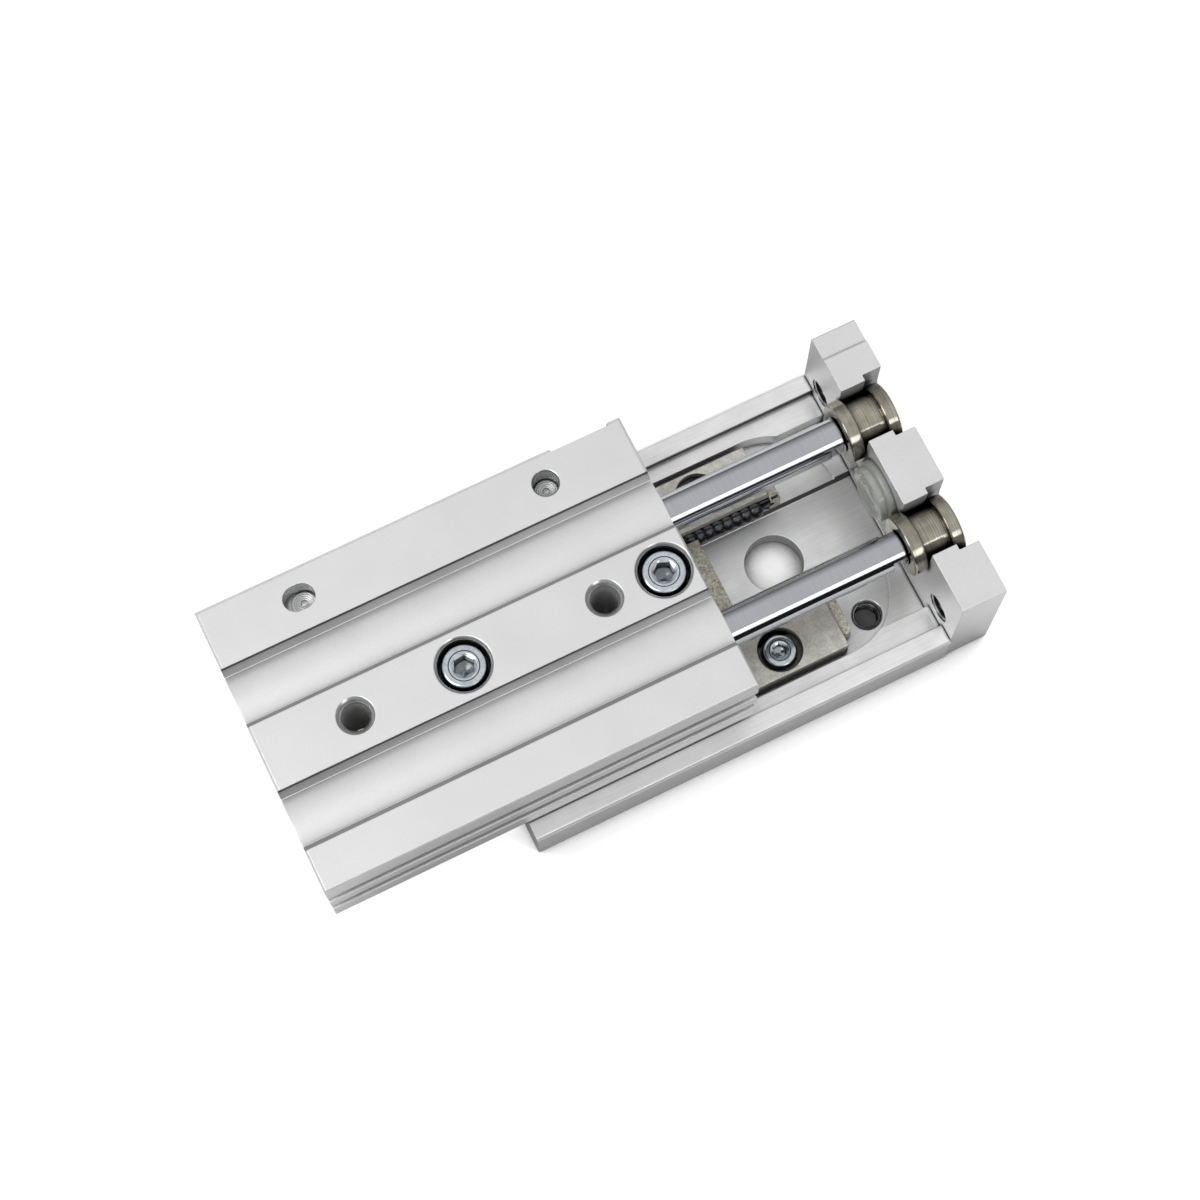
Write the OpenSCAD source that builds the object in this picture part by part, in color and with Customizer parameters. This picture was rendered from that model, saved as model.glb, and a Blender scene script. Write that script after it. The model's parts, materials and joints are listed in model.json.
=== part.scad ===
// Twin-rod pneumatic slide table, drawn extended.
// X runs along the stroke towards the end plate, Y across, Z up.
// The table's workpiece face lies on z = 0 and x = 0, y = 0 is the centre of its tapped holes.

/* [Stroke] */
// Travel of the table
stroke = 30; // [20:1:40]
// Gap left before the bumper when fully retracted
stop_gap = 0.6; // [0.3:0.1:1]

/* [Body] */
// Height of the body's mounting face above the table face
body_top = 28.2; // [27.6:0.1:29]
// Height of the body's underside
body_under = 10.2; // [9.8:0.1:10.4]
// Width of the body from the centre line to the sensor slot side
body_slot_side = 22; // [21.5:0.5:24]
// Width of the body from the centre line to the port side
body_port_side = 25; // [23:0.5:26]
// Chamfer along the body's long top edges
body_edge = 0.5; // [0.2:0.1:0.6]
// Chamfer across the ends of the body's top lands
land_end_edge = 0.35; // [0.1:0.05:0.6]
// Width of each hollow groove between the top lands
groove_w = 9.8; // [9:0.2:10.2]
// Depth of the grooves at their lower corners
groove_depth = 1.8; // [1.2:0.1:2]
// Height of the groove's upright lip
groove_lip = 0.8; // [0.4:0.1:1]
// Width of the sloping shoulder inside the lip
groove_shoulder = 1; // [0.6:0.1:1.2]
// Rise of the crown over the bore in each groove
crown_rise = 0.85; // [0.4:0.05:1]

/* [Bores] */
// Bore of each cylinder
bore_d = 12; // [11:0.5:12]
// Distance of each bore from the centre line
bore_y = 10.25; // [10:0.05:10.6]
// Height of the bores above the table face
bore_z = 19.2; // [18.8:0.1:19.6]
// Diameter of the piston rods
rod_d = 6; // [5:0.5:6.5]
// Length of each piston with its magnet
piston_len = 20; // [18:1:24]
// Free space left behind the piston when retracted
rear_slack = 2.3; // [1.5:0.1:4]
// Free space left before the piston when extended
front_slack = 0.4; // [0.3:0.1:1]

/* [Head caps and glands] */
// Distance of the retaining rings from the body's ends
ring_inset = 0.8; // [0.6:0.1:1.2]
// Thickness of the retaining rings
ring_t = 1; // [0.8:0.1:1.2]
// Depth of the retaining ring grooves
ring_bite = 0.4; // [0.3:0.1:0.5]
// Length of the head caps' sealing part
cap_seal_len = 3.2; // [3:0.1:4]
// Length of the head caps' stop boss
cap_boss_len = 3.3; // [3:0.1:4]
// Length of the glands' sealing part
gland_seal_len = 3.7; // [3.4:0.1:4.4]
// Length of the glands' nose
gland_nose_len = 4; // [3.6:0.1:5]
// Diameter of the bosses and noses that leave room for air
nose_d = 9; // [8.6:0.1:10]
// Thickness of the static O-rings
o_ring_t = 1.4; // [1.2:0.1:1.6]
// Thickness of the rod seals
rod_seal_t = 1.2; // [1:0.1:1.4]
// Length of the rod seals
rod_seal_len = 2; // [1.6:0.1:2.2]

/* [Ports and sensor slots] */
// Tapping diameter of the air ports
port_d = 4.2; // [3.8:0.1:4.6]
// Threaded depth of the air ports
port_depth = 5.5; // [4.5:0.5:6.5]
// Distance of the front port from the body's front end
front_port_inset = 7; // [6.8:0.1:7.4]
// Distance of the rear port from the body's rear end
rear_port_inset = 7; // [6.8:0.1:7.4]
// Width of the flat recess round the front port
port_flat_w = 9.6; // [8:0.2:10]
// Depth of the flats round the ports
port_flat_t = 0.6; // [0.3:0.1:0.8]
// Diameter of the spot face round the rear port
port_spot_d = 8.4; // [7:0.2:9]
// Diameter of the air passages between port and bores
passage_d = 1.6; // [1:0.1:1.8]
// Offset of the front passage from the port's axis
passage_offset = 1.2; // [1:0.1:1.4]
// Height of the upper sensor slot
slot_high_z = 21.6; // [21.2:0.1:22]
// Height of the lower sensor slot
slot_low_z = 16; // [15.6:0.1:16.4]
// Width of the sensor slots' mouths
slot_mouth = 2.9; // [2.4:0.1:3.2]
// Diameter of the sensor slots inside
slot_d = 4.2; // [3.8:0.1:4.4]
// Distance of the slots' centres behind the body's side
slot_in = 1.9; // [1.6:0.1:2.2]

/* [Body fixing] */
// Distance of the first mounting hole from the body's rear end
mount_inset = 15; // [14:0.5:16]
// Distance between the two mounting holes
mount_pitch = 40.8; // [38:0.2:42]
// Tapping diameter of the mounting holes
mount_d = 4.3; // [4:0.1:4.6]
// Mouth diameter of the mounting holes' countersinks
mount_mouth = 5.9; // [5:0.1:6.5]
// Diameter that lets a bolt head through from below
bolt_way_d = 8; // [7.4:0.2:8.4]
// Height of the bolt head's seat above the body's underside
bolt_seat = 2.6; // [1:0.2:3]
// Distance of the front rail screw from the body's front end
rail_screw_inset = 4.8; // [4.6:0.1:5.2]
// Distance between the two rail screws
rail_screw_pitch = 33.1; // [30:0.5:34]
// Diameter of the rail screws' thread
rail_screw_d = 4; // [3.5:0.5:4]
// Diameter of the rail screws' heads
rail_head_d = 7; // [6.5:0.1:7.2]
// Height of the rail screws' heads
rail_head_h = 4; // [3.5:0.1:4.2]
// Depth of the rail screws' counterbores
rail_sink = 4.7; // [4.4:0.1:5]
// Width across the flats of the rail screws' sockets
rail_hex = 3; // [2.5:0.5:3]
// Distance of the locating holes from the centre line
pin_y = 20.2; // [19.5:0.1:21]
// Diameter of the locating holes
pin_d = 4; // [3:0.5:4]
// Depth of the body's locating holes
pin_depth = 4; // [3:0.5:5]
// Extra length of the slotted locating holes
pin_slot = 1; // [0.5:0.25:1.5]

/* [Table] */
// Half width of the table
table_half = 25; // [24:0.5:26]
// Distance the retracted table stays inside the body's rear end
table_setback = 2.1; // [1:0.1:3]
// Height of the side ridges
ridge_z = 9; // [8.8:0.1:9.2]
// Height of the ledges inside the ridges
ledge_z = 7.5; // [7.2:0.1:7.8]
// Width of the side ridges
ridge_w = 3.15; // [2.8:0.05:3.6]
// Gap between the guide blocks and the pocket's walls
pocket_gap = 1; // [0.6:0.1:1.2]
// Height of the pocket's floor
pocket_z = 4.15; // [4:0.05:4.3]
// Width of the front ledges inside the pocket's walls
front_ledge_w = 1.55; // [1.2:0.05:1.9]
// Height of the floor in front of the pocket
front_floor_z = 4.4; // [4.35:0.05:4.6]
// Height of the web in the middle channel
web_z = 3.5; // [3.2:0.1:3.7]
// Half width of the middle channel's web
web_half = 7.65; // [7.4:0.05:7.9]
// Width of the channel's sloping sides
web_slope = 0.85; // [0.6:0.05:0.9]
// Chamfer along the table's outer edges
table_edge = 0.4; // [0.2:0.1:0.6]
// Tapping diameter of the workpiece holes
work_d = 4.2; // [3.8:0.1:4.6]
// Distance between the workpiece holes along the stroke
work_pitch_x = 30; // [26:1:32]
// Distance between the workpiece holes across the stroke
work_pitch_y = 28.4; // [27:0.2:29]
// Distance of the front workpiece holes from the table's front end
work_inset = 8.7; // [8:0.1:9]
// Diameter of the holes that reach the body's mounting bolts
access_d = 9.5; // [9:0.1:10]
// Depth of the table's locating holes
table_pin_depth = 2.6; // [2:0.1:2.8]

/* [Guide] */
// Distance the rail stands out in front of the body
rail_out = 5; // [4:0.5:6]
// Distance of the rail's rear end from the body's rear end
rail_rear = 4.5; // [3:0.5:6]
// Half width of the rail's top
rail_top_half = 7; // [6.6:0.1:7.1]
// Half width of the rail at its races
rail_half = 8; // [7.9:0.05:8.1]
// Depth of the rail's seat in the body
rail_seat = 0.4; // [0.3:0.1:0.8]
// Height of the rail's underside
rail_under = 4.7; // [4.5:0.1:5]
// Diameter of the balls
ball_d = 1.588; // [1.4:0.1:1.7]
// Distance of the loaded ball rows from the centre line
ball_y = 8.6; // [8.55:0.05:8.65]
// Height of the loaded ball rows
ball_z = 6.5; // [6.3:0.1:6.7]
// Running gap between ball and race
ball_gap = 0.04; // [0.02:0.01:0.06]
// Length of the guide blocks
block_len = 48; // [44:1:50]
// Distance of the guide blocks from the table's front end
block_inset = 14.4; // [14:0.1:16]
// Height of the guide blocks' tops
block_top = 8.5; // [8.3:0.1:8.6]
// Distance of the guide blocks' outer sides from the centre line
block_out = 18.35; // [18.2:0.05:18.6]
// Distance of the guide blocks' races from the centre line
block_in = 9.1; // [9.05:0.05:9.15]
// Chamfer along the guide blocks' inner top edges
block_edge = 0.5; // [0.3:0.1:0.7]
// Distance of the guide block screws from the centre line
block_screw_y = 14.2; // [14.1:0.1:14.4]
// Distance of the guide block screws from the blocks' ends
block_screw_inset = 10; // [9:0.5:11]
// Diameter of the guide block screws' thread
block_screw_d = 3; // [2.5:0.5:3]
// Diameter of the guide block screws' heads
block_head_d = 5.5; // [5:0.1:5.7]
// Height of the guide block screws' heads
block_head_h = 1.9; // [1.7:0.1:2]
// Diameter of the guide block counterbores
block_sink_d = 7.2; // [6.8:0.1:7.3]
// Depth of the guide block counterbores
block_sink = 2.3; // [2.1:0.1:2.35]
// Diameter of the wires that keep the balls in the open races
wire_d = 0.4; // [0.3:0.05:0.45]
// Distance of the wires from the centre line
wire_y = 8.88; // [8.85:0.01:8.89]
// Length of each wire's end held in the return end plates
wire_grip = 1.1; // [0.8:0.1:1.2]
// Thickness of the return end plates
return_t = 1.7; // [1.65:0.05:2]
// Distance of the return end plates' inner edges from the centre line
return_in = 8.2; // [8.1:0.05:8.3]
// Distance of the return end plates' outer edges from the centre line
return_out = 16.4; // [15.5:0.1:17]
// Height of the return end plates' tops
return_top = 8; // [7.8:0.1:8.2]

/* [End plate] */
// Thickness of the end plate
end_t = 7.5; // [7:0.1:8.5]
// Height of the end plate
end_top = 24.4; // [24:0.1:25]
// Distance of the end plate's sides inside the table's
end_side_gap = 0.3; // [0.1:0.1:0.6]
// Thickness of the wall that the bushes' necks sit in
slot_wall = 4.2; // [3.8:0.1:4.6]
// Side play of a bush's neck in its slot
neck_play = 0.5; // [0.2:0.05:0.6]
// Side play of a bush's outer flange in its recess
flange_play = 0.5; // [0.2:0.05:0.6]
// Width of the stepped strip on top of the end plate's port side
end_step_w = 4.2; // [3:0.2:5]
// Height of that step
end_step = 0.35; // [0.2:0.05:0.6]
// Height of the end plate's tapped holes
end_hole_z = 11.9; // [11:0.1:13]
// Distance of the end plate's tapped holes from its sides
end_hole_side = 4.9; // [4.5:0.1:5.3]
// Diameter of the screws that hold the end plate
end_screw_d = 4; // [3:0.5:4]
// Diameter of those screws' heads
end_head_d = 7; // [6:0.5:7]
// Height of those screws' heads
end_head_h = 4; // [3:0.5:4]
// Depth of those screws' threads in the table
end_screw_len = 8; // [6:1:9]
// Distance of those screws from the end plate's sides
end_screw_side = 4.5; // [4.3:0.1:4.7]
// Height of those screws
end_screw_z = 4.6; // [4.4:0.1:4.8]
// Diameter of the end plate's dowels
dowel_d = 2; // [1.5:0.5:2]
// Length of the end plate's dowels
dowel_len = 8; // [6:1:10]
// Distance of the dowels from the centre line
dowel_y = 12; // [11:0.5:13]

/* [Bushes and bumper] */
// Diameter of the bushes' flanges
bush_flange_d = 10; // [9.6:0.1:10.2]
// Thickness of the bushes' inner flanges
bush_inner_t = 2.3; // [2:0.1:2.4]
// Thickness of the bushes' outer flanges
bush_outer_t = 2.1; // [1.8:0.1:2.6]
// Diameter of the bushes' necks
bush_neck_d = 8; // [7:0.1:8.2]
// End play of the bushes in the end plate
bush_play = 0.2; // [0.1:0.05:0.4]
// Diameter of the rods' threaded ends
rod_thread_d = 4; // [3:0.5:4.5]
// Length of the wrench flats on the rods
flat_len = 2.4; // [2:0.1:3]
// Width across the rods' wrench flats
flat_across = 4.8; // [4.6:0.1:5]
// Diameter of the bumper's rim
bumper_d = 10.4; // [9:0.2:11]
// Diameter of the bumper's face
bumper_face_d = 9.2; // [8:0.2:9.8]
// Distance the bumper stands out of the end plate
bumper_out = 2.5; // [2.2:0.1:3]
// Height of the bumper's centre
bumper_z = 17; // [16:0.2:18]
// Diameter of the bumper's stem
stem_d = 4; // [3:0.5:5]
// Length of the bumper's stem
stem_len = 4; // [3:0.5:5]

/* [Clearances] */
// Radial gap between parts that slide in each other
slide_fit = 0.05; // [0.03:0.01:0.08]
// Radial gap round parts that are fixed in each other
snug_fit = 0.02; // [0.01:0.01:0.04]
// Radial gap round a screw's shank or head
screw_play = 0.25; // [0.15:0.05:0.35]

/* [Hidden] */
$fn = 48;
eps = 0.01;
far = 1;
near = -1;

// Half widths that follow the table's and the guide blocks'.
ridge_in = table_half - ridge_w;
pocket_half = block_out + pocket_gap;
front_half = pocket_half - front_ledge_w;
end_half = table_half - end_side_gap;
end_step_y = end_half - end_step_w;
end_hole_y = end_half - end_hole_side;
end_screw_y = end_half - end_screw_side;

// Places along the stroke, from the front end of the table backwards.
table_front = work_pitch_x / 2 + work_inset;
end_front = table_front + end_t;
body_front = table_front - (stroke + bumper_out + stop_gap);
cap_len = cap_seal_len + cap_boss_len;
gland_len = gland_seal_len + gland_nose_len;
end_stack = ring_inset + ring_t;
body_len = 2 * end_stack + cap_len + rear_slack + stroke + piston_len + front_slack + gland_len;
body_rear = body_front - body_len;
table_rear = body_rear + stroke + table_setback;
rail_front = body_front + rail_out;
rail_back = body_rear + rail_rear;
block_front = table_front - block_inset;
block_rear = block_front - block_len;

// Stations inside the bores.
cap_x = body_rear + end_stack;
gland_x = body_front - end_stack - gland_len;
piston_front_x = gland_x - front_slack;
piston_rear_x = piston_front_x - piston_len;

// Fixing holes along the body.
mount_xs = [body_rear + mount_inset, body_rear + mount_inset + mount_pitch];
rail_screw_xs = [body_front - rail_screw_inset, body_front - rail_screw_inset - rail_screw_pitch];
block_screw_xs = [block_front - block_screw_inset, block_rear + block_screw_inset];
front_port_x = body_front - front_port_inset;
rear_port_x = body_rear + rear_port_inset;

// Heights that several parts share.
rail_top = body_under + rail_seat;
rail_sink_z = body_top - rail_sink;
block_sink_z = block_top - block_sink;

// Stations of the floating bushes.
wall_x = table_front + slot_wall;
bush_inner_x = table_front - bush_play / 2 - bush_inner_t;
bush_outer_x = wall_x + bush_play / 2;
bush_end_x = bush_outer_x + bush_outer_t;

// Ball circuit: a loaded row beside the rail and a return row under the block.
return_y = 11.1;
return_z = pocket_z + ball_d / 2 + ball_gap;
turn_r = norm([return_y - ball_y, return_z - ball_z]) / 2;
turn_inset = turn_r + ball_d / 2 + 0.2 - return_t;
run_len = block_len - 2 * turn_inset;
circuit_len = 2 * run_len + 2 * PI * turn_r;
ball_count = floor(circuit_len / (ball_d + ball_gap));

// Pieces of a piston, from its rear face forwards.
piston_rear_len = 7;
magnet_len = 5;
rod_bumper_len = 1.5;
piston_front_len = piston_len - piston_rear_len - magnet_len - rod_bumper_len;
piston_d = bore_d - 2 * slide_fit - 0.2;
magnet_d = piston_d - 0.6;
piston_seal_inset = 2.5;
piston_seal_w = 2;
piston_seal_t = 1.5;
seal_lip = 0.4;
spigot_d = 4;
spigot_seat = 2;
spigot_sink = 0.4;
rod_end_inset = 0.6;
magnet_x = piston_rear_x + piston_rear_len;

// Small shapes of the head caps, glands and retaining rings.
jack_d = 2.5;
jack_depth = 2.5;
ring_wall = 1.6;
ring_opening = 3;
rod_seal_inset = 1;
lip_wall = 0.25;

// Edge breaks, screw sockets and the way the wire lies over the balls.
small_edge = 0.2;
thread_edge = 0.3;
hex_edge = 0.15;
socket_share = 0.55;
race_d = ball_d + 2 * ball_gap;
race_edge = 0.6;
wire_z = ball_z + sqrt(pow(ball_d / 2 + ball_gap + wire_d / 2, 2) - pow(wire_y - ball_y, 2));
wire_notch = [0.7, 1.2];
rail_way_gap = 0.4;
rail_way = rail_out - stop_gap - bumper_out + rail_way_gap;

// A cylinder whose axis runs along X from the given station.
module rod_x(x, d, len, y = 0, z = 0) {
  translate([x, y, z]) rotate([0, 90, 0]) cylinder(d = d, h = len);
}

// A tube along X.
module tube_x(x, outer, inner, len, y = 0, z = 0) {
  difference() {
    rod_x(x, outer, len, y, z);
    rod_x(x - 1, inner, len + 2, y, z);
  }
}

// A cylinder along X with both rims broken by the same chamfer.
module broken_rod_x(x, d, len, edge, y = 0, z = 0) {
  translate([x, y, z]) rotate([0, 90, 0]) rotate_extrude() polygon([
    [0, 0], [d / 2 - edge, 0], [d / 2, edge], [d / 2, len - edge], [d / 2 - edge, len], [0, len]
  ]);
}

// Extrudes a profile drawn in Y and Z along X.
module along_x(x, len) {
  translate([x, 0, 0]) rotate([90, 0, 90]) linear_extrude(height = len) children();
}

// A countersunk mouth on a vertical hole that opens upwards at height z.
module mouth_up(x, y, z, hole_d, mouth_d) {
  rim = (mouth_d - hole_d) / 2;
  translate([x, y, z - rim]) rotate_extrude() polygon([
    [0, -eps], [hole_d / 2, -eps], [hole_d / 2, 0], [mouth_d / 2, rim], [mouth_d / 2, rim + 1], [0, rim + 1]
  ]);
}

// A socket-head screw pointing down, its bearing face at the origin.
module socket_screw(thread_d, thread_len, head_d, head_h, hex) {
  difference() {
    union() {
      rotate_extrude() polygon([
        [0, 0], [head_d / 2, 0], [head_d / 2, head_h - thread_edge],
        [head_d / 2 - thread_edge, head_h], [0, head_h]
      ]);
      translate([0, 0, -thread_len]) rotate_extrude() polygon([
        [0, 0], [thread_d / 2 - thread_edge, 0], [thread_d / 2, thread_edge],
        [thread_d / 2, thread_len + eps], [0, thread_len + eps]
      ]);
    }
    translate([0, 0, head_h * (1 - socket_share)]) cylinder(d = hex / cos(30), h = head_h, $fn = 6);
    translate([0, 0, head_h - hex_edge]) rotate_extrude() polygon([
      [0, 0], [hex / 2, 0], [hex / 2 + 2 * hex_edge, hex_edge + eps], [0, hex_edge + eps]
    ]);
  }
}

// ---------------------------------------------------------------- body

// One hollow groove of the body's top, with the crown that follows the bore.
module groove_profile() {
  low = body_top - groove_depth;
  floor_half = groove_w / 2 - groove_shoulder;
  crown_r = (floor_half * floor_half + crown_rise * crown_rise) / (2 * crown_rise);
  difference() {
    polygon([
      [-groove_w / 2, body_top + 1], [-groove_w / 2, body_top - groove_lip], [-floor_half, low],
      [floor_half, low], [groove_w / 2, body_top - groove_lip], [groove_w / 2, body_top + 1]
    ]);
    translate([0, low + crown_rise - crown_r]) circle(r = crown_r, $fn = 96);
  }
}

// A sensor slot: a round channel with a narrower mouth.
module slot_profile(z) {
  translate([-body_slot_side + slot_in, z]) circle(d = slot_d);
  translate([-body_slot_side - 1, z - slot_mouth / 2]) square([slot_in + 1, slot_mouth]);
}

module body_profile() {
  difference() {
    polygon([
      [-body_slot_side, body_under + body_edge], [-body_slot_side + body_edge, body_under],
      [body_port_side - body_edge, body_under], [body_port_side, body_under + body_edge],
      [body_port_side, body_top - body_edge], [body_port_side - body_edge, body_top],
      [-body_slot_side + body_edge / 2, body_top], [-body_slot_side, body_top - body_edge / 2]
    ]);
    for (side = [far, near]) translate([side * bore_y, 0]) groove_profile();
    slot_profile(slot_high_z);
    slot_profile(slot_low_z);
    translate([-rail_top_half - snug_fit, body_under - 1])
      square([2 * (rail_top_half + snug_fit), rail_seat + 1]);
  }
}

// The long chamfer across one end of the top lands.
module land_end_chamfer(x) {
  translate([x, -body_slot_side - 1, body_top]) rotate([0, 45, 0])
    translate([-land_end_edge / sqrt(2), 0, -land_end_edge / sqrt(2)])
      cube([sqrt(2) * land_end_edge, body_slot_side + body_port_side + 2, sqrt(2) * land_end_edge]);
}

// Bore with the two grooves for its retaining rings.
module bore_cut(side) {
  y = side * bore_y;
  rod_x(body_rear - 1, bore_d, body_len + 2, y, bore_z);
  for (x = [body_rear + ring_inset, body_front - ring_inset - ring_t])
    rod_x(x, bore_d + 2 * ring_bite, ring_t, y, bore_z);
}

// Port, its passage into the port-side bore and the drilled way on to the other bore.
module port_cut(x, passage_x) {
  translate([x, body_port_side - port_depth, bore_z]) rotate([-90, 0, 0]) cylinder(d = port_d, h = port_depth + 1);
  translate([x, body_port_side - port_flat_t, bore_z]) rotate([-90, 0, 0])
    rotate_extrude() polygon([
      [0, -thread_edge], [port_d / 2, -thread_edge], [port_d / 2 + thread_edge, eps], [0, eps]
    ]);
  translate([passage_x, -bore_y, bore_z]) rotate([-90, 0, 0])
    cylinder(d = passage_d, h = bore_y + body_port_side - port_depth + 1);
}

module cylinder_body() color([0.84, 0.85, 0.86]) {
  difference() {
    along_x(body_rear, body_len) body_profile();
    for (x = [body_rear, body_front]) land_end_chamfer(x);
    for (side = [far, near]) bore_cut(side);
    port_cut(front_port_x, front_port_x - passage_offset);
    port_cut(rear_port_x, rear_port_x);
    // Flat recess of the front port, open to the top, and the rear port's spot face.
    translate([front_port_x - port_flat_w / 2, body_port_side - port_flat_t, bore_z])
      cube([port_flat_w, port_flat_t + 1, body_top - bore_z + 1]);
    translate([front_port_x, body_port_side - port_flat_t, bore_z]) rotate([-90, 0, 0])
      cylinder(d = port_flat_w, h = port_flat_t + 1);
    translate([rear_port_x, body_port_side - port_flat_t, bore_z]) rotate([-90, 0, 0])
      cylinder(d = port_spot_d, h = port_flat_t + 1);
    // Mounting holes, with the bolt head's seat cut from below.
    for (x = mount_xs) {
      translate([x, 0, body_under - 1]) cylinder(d = mount_d, h = body_top - body_under + 2);
      mouth_up(x, 0, body_top, mount_d, mount_mouth);
      translate([x, 0, body_under - 1]) cylinder(d = bolt_way_d, h = bolt_seat + 1);
    }
    // Counterbored holes of the rail screws.
    for (x = rail_screw_xs) {
      translate([x, 0, body_under - 1]) cylinder(d = rail_screw_d + 2 * screw_play, h = body_top - body_under);
      translate([x, 0, rail_sink_z]) cylinder(d = rail_head_d + 4 * screw_play, h = rail_sink + 1);
      mouth_up(x, 0, body_top, rail_head_d + 4 * screw_play, rail_head_d + 8 * screw_play);
    }
    // Locating holes: one round, one slotted along the stroke.
    translate([mount_xs[1], pin_y, body_top - pin_depth]) cylinder(d = pin_d, h = pin_depth + 1);
    mouth_up(mount_xs[1], pin_y, body_top, pin_d, pin_d + 2 * small_edge);
    for (shift = [-pin_slot / 2, pin_slot / 2]) {
      translate([mount_xs[0] + shift, pin_y, body_top - pin_depth]) cylinder(d = pin_d, h = pin_depth + 1);
    }
    translate([mount_xs[0] - pin_slot / 2, pin_y - pin_d / 2, body_top - pin_depth])
      cube([pin_slot, pin_d, pin_depth + 1]);
  }
}

// ---------------------------------------------------------------- rail

module rail_profile() {
  shoulder = rail_half - rail_top_half;
  shoulder_z = ball_z + race_d / 2 + shoulder + small_edge;
  difference() {
    polygon([
      [-rail_half + small_edge, rail_under], [rail_half - small_edge, rail_under],
      [rail_half, rail_under + small_edge], [rail_half, shoulder_z - shoulder],
      [rail_top_half, shoulder_z], [rail_top_half, rail_top],
      [-rail_top_half, rail_top], [-rail_top_half, shoulder_z],
      [-rail_half, shoulder_z - shoulder], [-rail_half, rail_under + small_edge]
    ]);
    for (side = [far, near]) translate([side * ball_y, ball_z]) circle(d = race_d);
  }
}

module guide_rail() color([0.72, 0.70, 0.64]) {
  difference() {
    along_x(rail_back, rail_front - rail_back) rail_profile();
    for (x = rail_screw_xs) translate([x, 0, rail_under - 1]) cylinder(d = rail_screw_d + 2 * snug_fit, h = rail_top);
    for (x = mount_xs) translate([x, 0, rail_under - 1]) cylinder(d = bolt_way_d, h = rail_top);
  }
}

module rail_screws() color([0.74, 0.77, 0.80]) {
  for (x = rail_screw_xs) translate([x, 0, rail_sink_z])
    socket_screw(rail_screw_d, rail_sink_z - rail_under - 2 * small_edge, rail_head_d, rail_head_h, rail_hex);
}

// ---------------------------------------------------------------- cylinder ends

// Groove for a static O-ring, cut into a plug of the bore's size.
module o_ring_groove(x, y) {
  tube_x(x, bore_d + 1, bore_d - 2 * o_ring_t, o_ring_t + 2 * slide_fit, y, bore_z);
}

module head_cap(side) color([0.13, 0.13, 0.14]) {
  y = side * bore_y;
  difference() {
    union() {
      broken_rod_x(cap_x, bore_d - 2 * snug_fit, cap_seal_len, small_edge, y, bore_z);
      rod_x(cap_x, nose_d, cap_len, y, bore_z);
    }
    o_ring_groove(cap_x + (cap_seal_len - o_ring_t) / 2, y);
    // Blind jacking hole in the outer face.
    rod_x(cap_x - 1, jack_d, jack_depth + 1, y, bore_z);
  }
}

// O-ring squeezed flat between its groove and the bore.
module o_ring(x, y) {
  groove_r = bore_d / 2 - o_ring_t;
  translate([x + o_ring_t / 2 + slide_fit, y, bore_z]) rotate([0, 90, 0]) rotate_extrude()
    translate([groove_r + o_ring_t / 2, 0]) circle(d = o_ring_t - 2 * snug_fit);
}

module head_cap_seal(side) color([0.08, 0.08, 0.08]) {
  o_ring(cap_x + (cap_seal_len - o_ring_t) / 2, side * bore_y);
}

// Open retaining ring seated in the bore's groove.
module retaining_ring(x, side) {
  y = side * bore_y;
  outer = bore_d + 2 * ring_bite - 2 * snug_fit;
  inner = bore_d - 2 * ring_wall;
  difference() {
    tube_x(x + snug_fit, outer, inner, ring_t - 2 * snug_fit, y, bore_z);
    translate([x - 1, y - ring_opening / 2, bore_z - outer]) cube([ring_t + 2, ring_opening, outer]);
  }
}

module rear_ring(side) color([0.30, 0.30, 0.32]) {
  retaining_ring(body_rear + ring_inset, side);
}

module front_ring(side) color([0.30, 0.30, 0.32]) {
  retaining_ring(body_front - ring_inset - ring_t, side);
}

module rod_gland(side) color([0.78, 0.72, 0.55]) {
  y = side * bore_y;
  seal_x = gland_x + gland_nose_len;
  difference() {
    union() {
      rod_x(gland_x, nose_d, gland_len, y, bore_z);
      broken_rod_x(seal_x, bore_d - 2 * snug_fit, gland_seal_len, small_edge, y, bore_z);
    }
    rod_x(gland_x - 1, rod_d + 2 * slide_fit, gland_len + 2, y, bore_z);
    o_ring_groove(seal_x + (gland_seal_len - o_ring_t) / 2, y);
    rod_x(gland_x + rod_seal_inset, rod_d + 2 * rod_seal_t, rod_seal_len, y, bore_z);
  }
}

module gland_seal(side) color([0.08, 0.08, 0.08]) {
  o_ring(gland_x + gland_nose_len + (gland_seal_len - o_ring_t) / 2, side * bore_y);
}

// Lip seal: its inner lip leans on the rod.
module rod_seal(side) color([0.10, 0.10, 0.10]) {
  inner = rod_d / 2 + slide_fit;
  outer = rod_d / 2 + rod_seal_t - snug_fit;
  len = rod_seal_len - 2 * snug_fit;
  translate([gland_x + rod_seal_inset + snug_fit, side * bore_y, bore_z]) rotate([0, 90, 0])
    rotate_extrude() polygon([
      [inner + lip_wall, len], [inner, lip_wall], [inner + lip_wall / 2, 0], [(inner + outer) / 2, len / 2],
      [outer - lip_wall / 2, 0], [outer, lip_wall], [outer, len]
    ]);
}

// ---------------------------------------------------------------- table

// Pocket for the guide blocks, its front ends rounded by the cutter.
module pocket_plan() {
  cutter_r = pocket_half - web_half;
  translate([table_rear - 1, -pocket_half]) square([block_front - table_rear + 1, 2 * pocket_half]);
  for (side = [far, near]) translate([block_front, side * web_half]) circle(r = cutter_r, $fn = 96);
  translate([block_front, -web_half]) square([cutter_r, 2 * web_half]);
}

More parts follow.
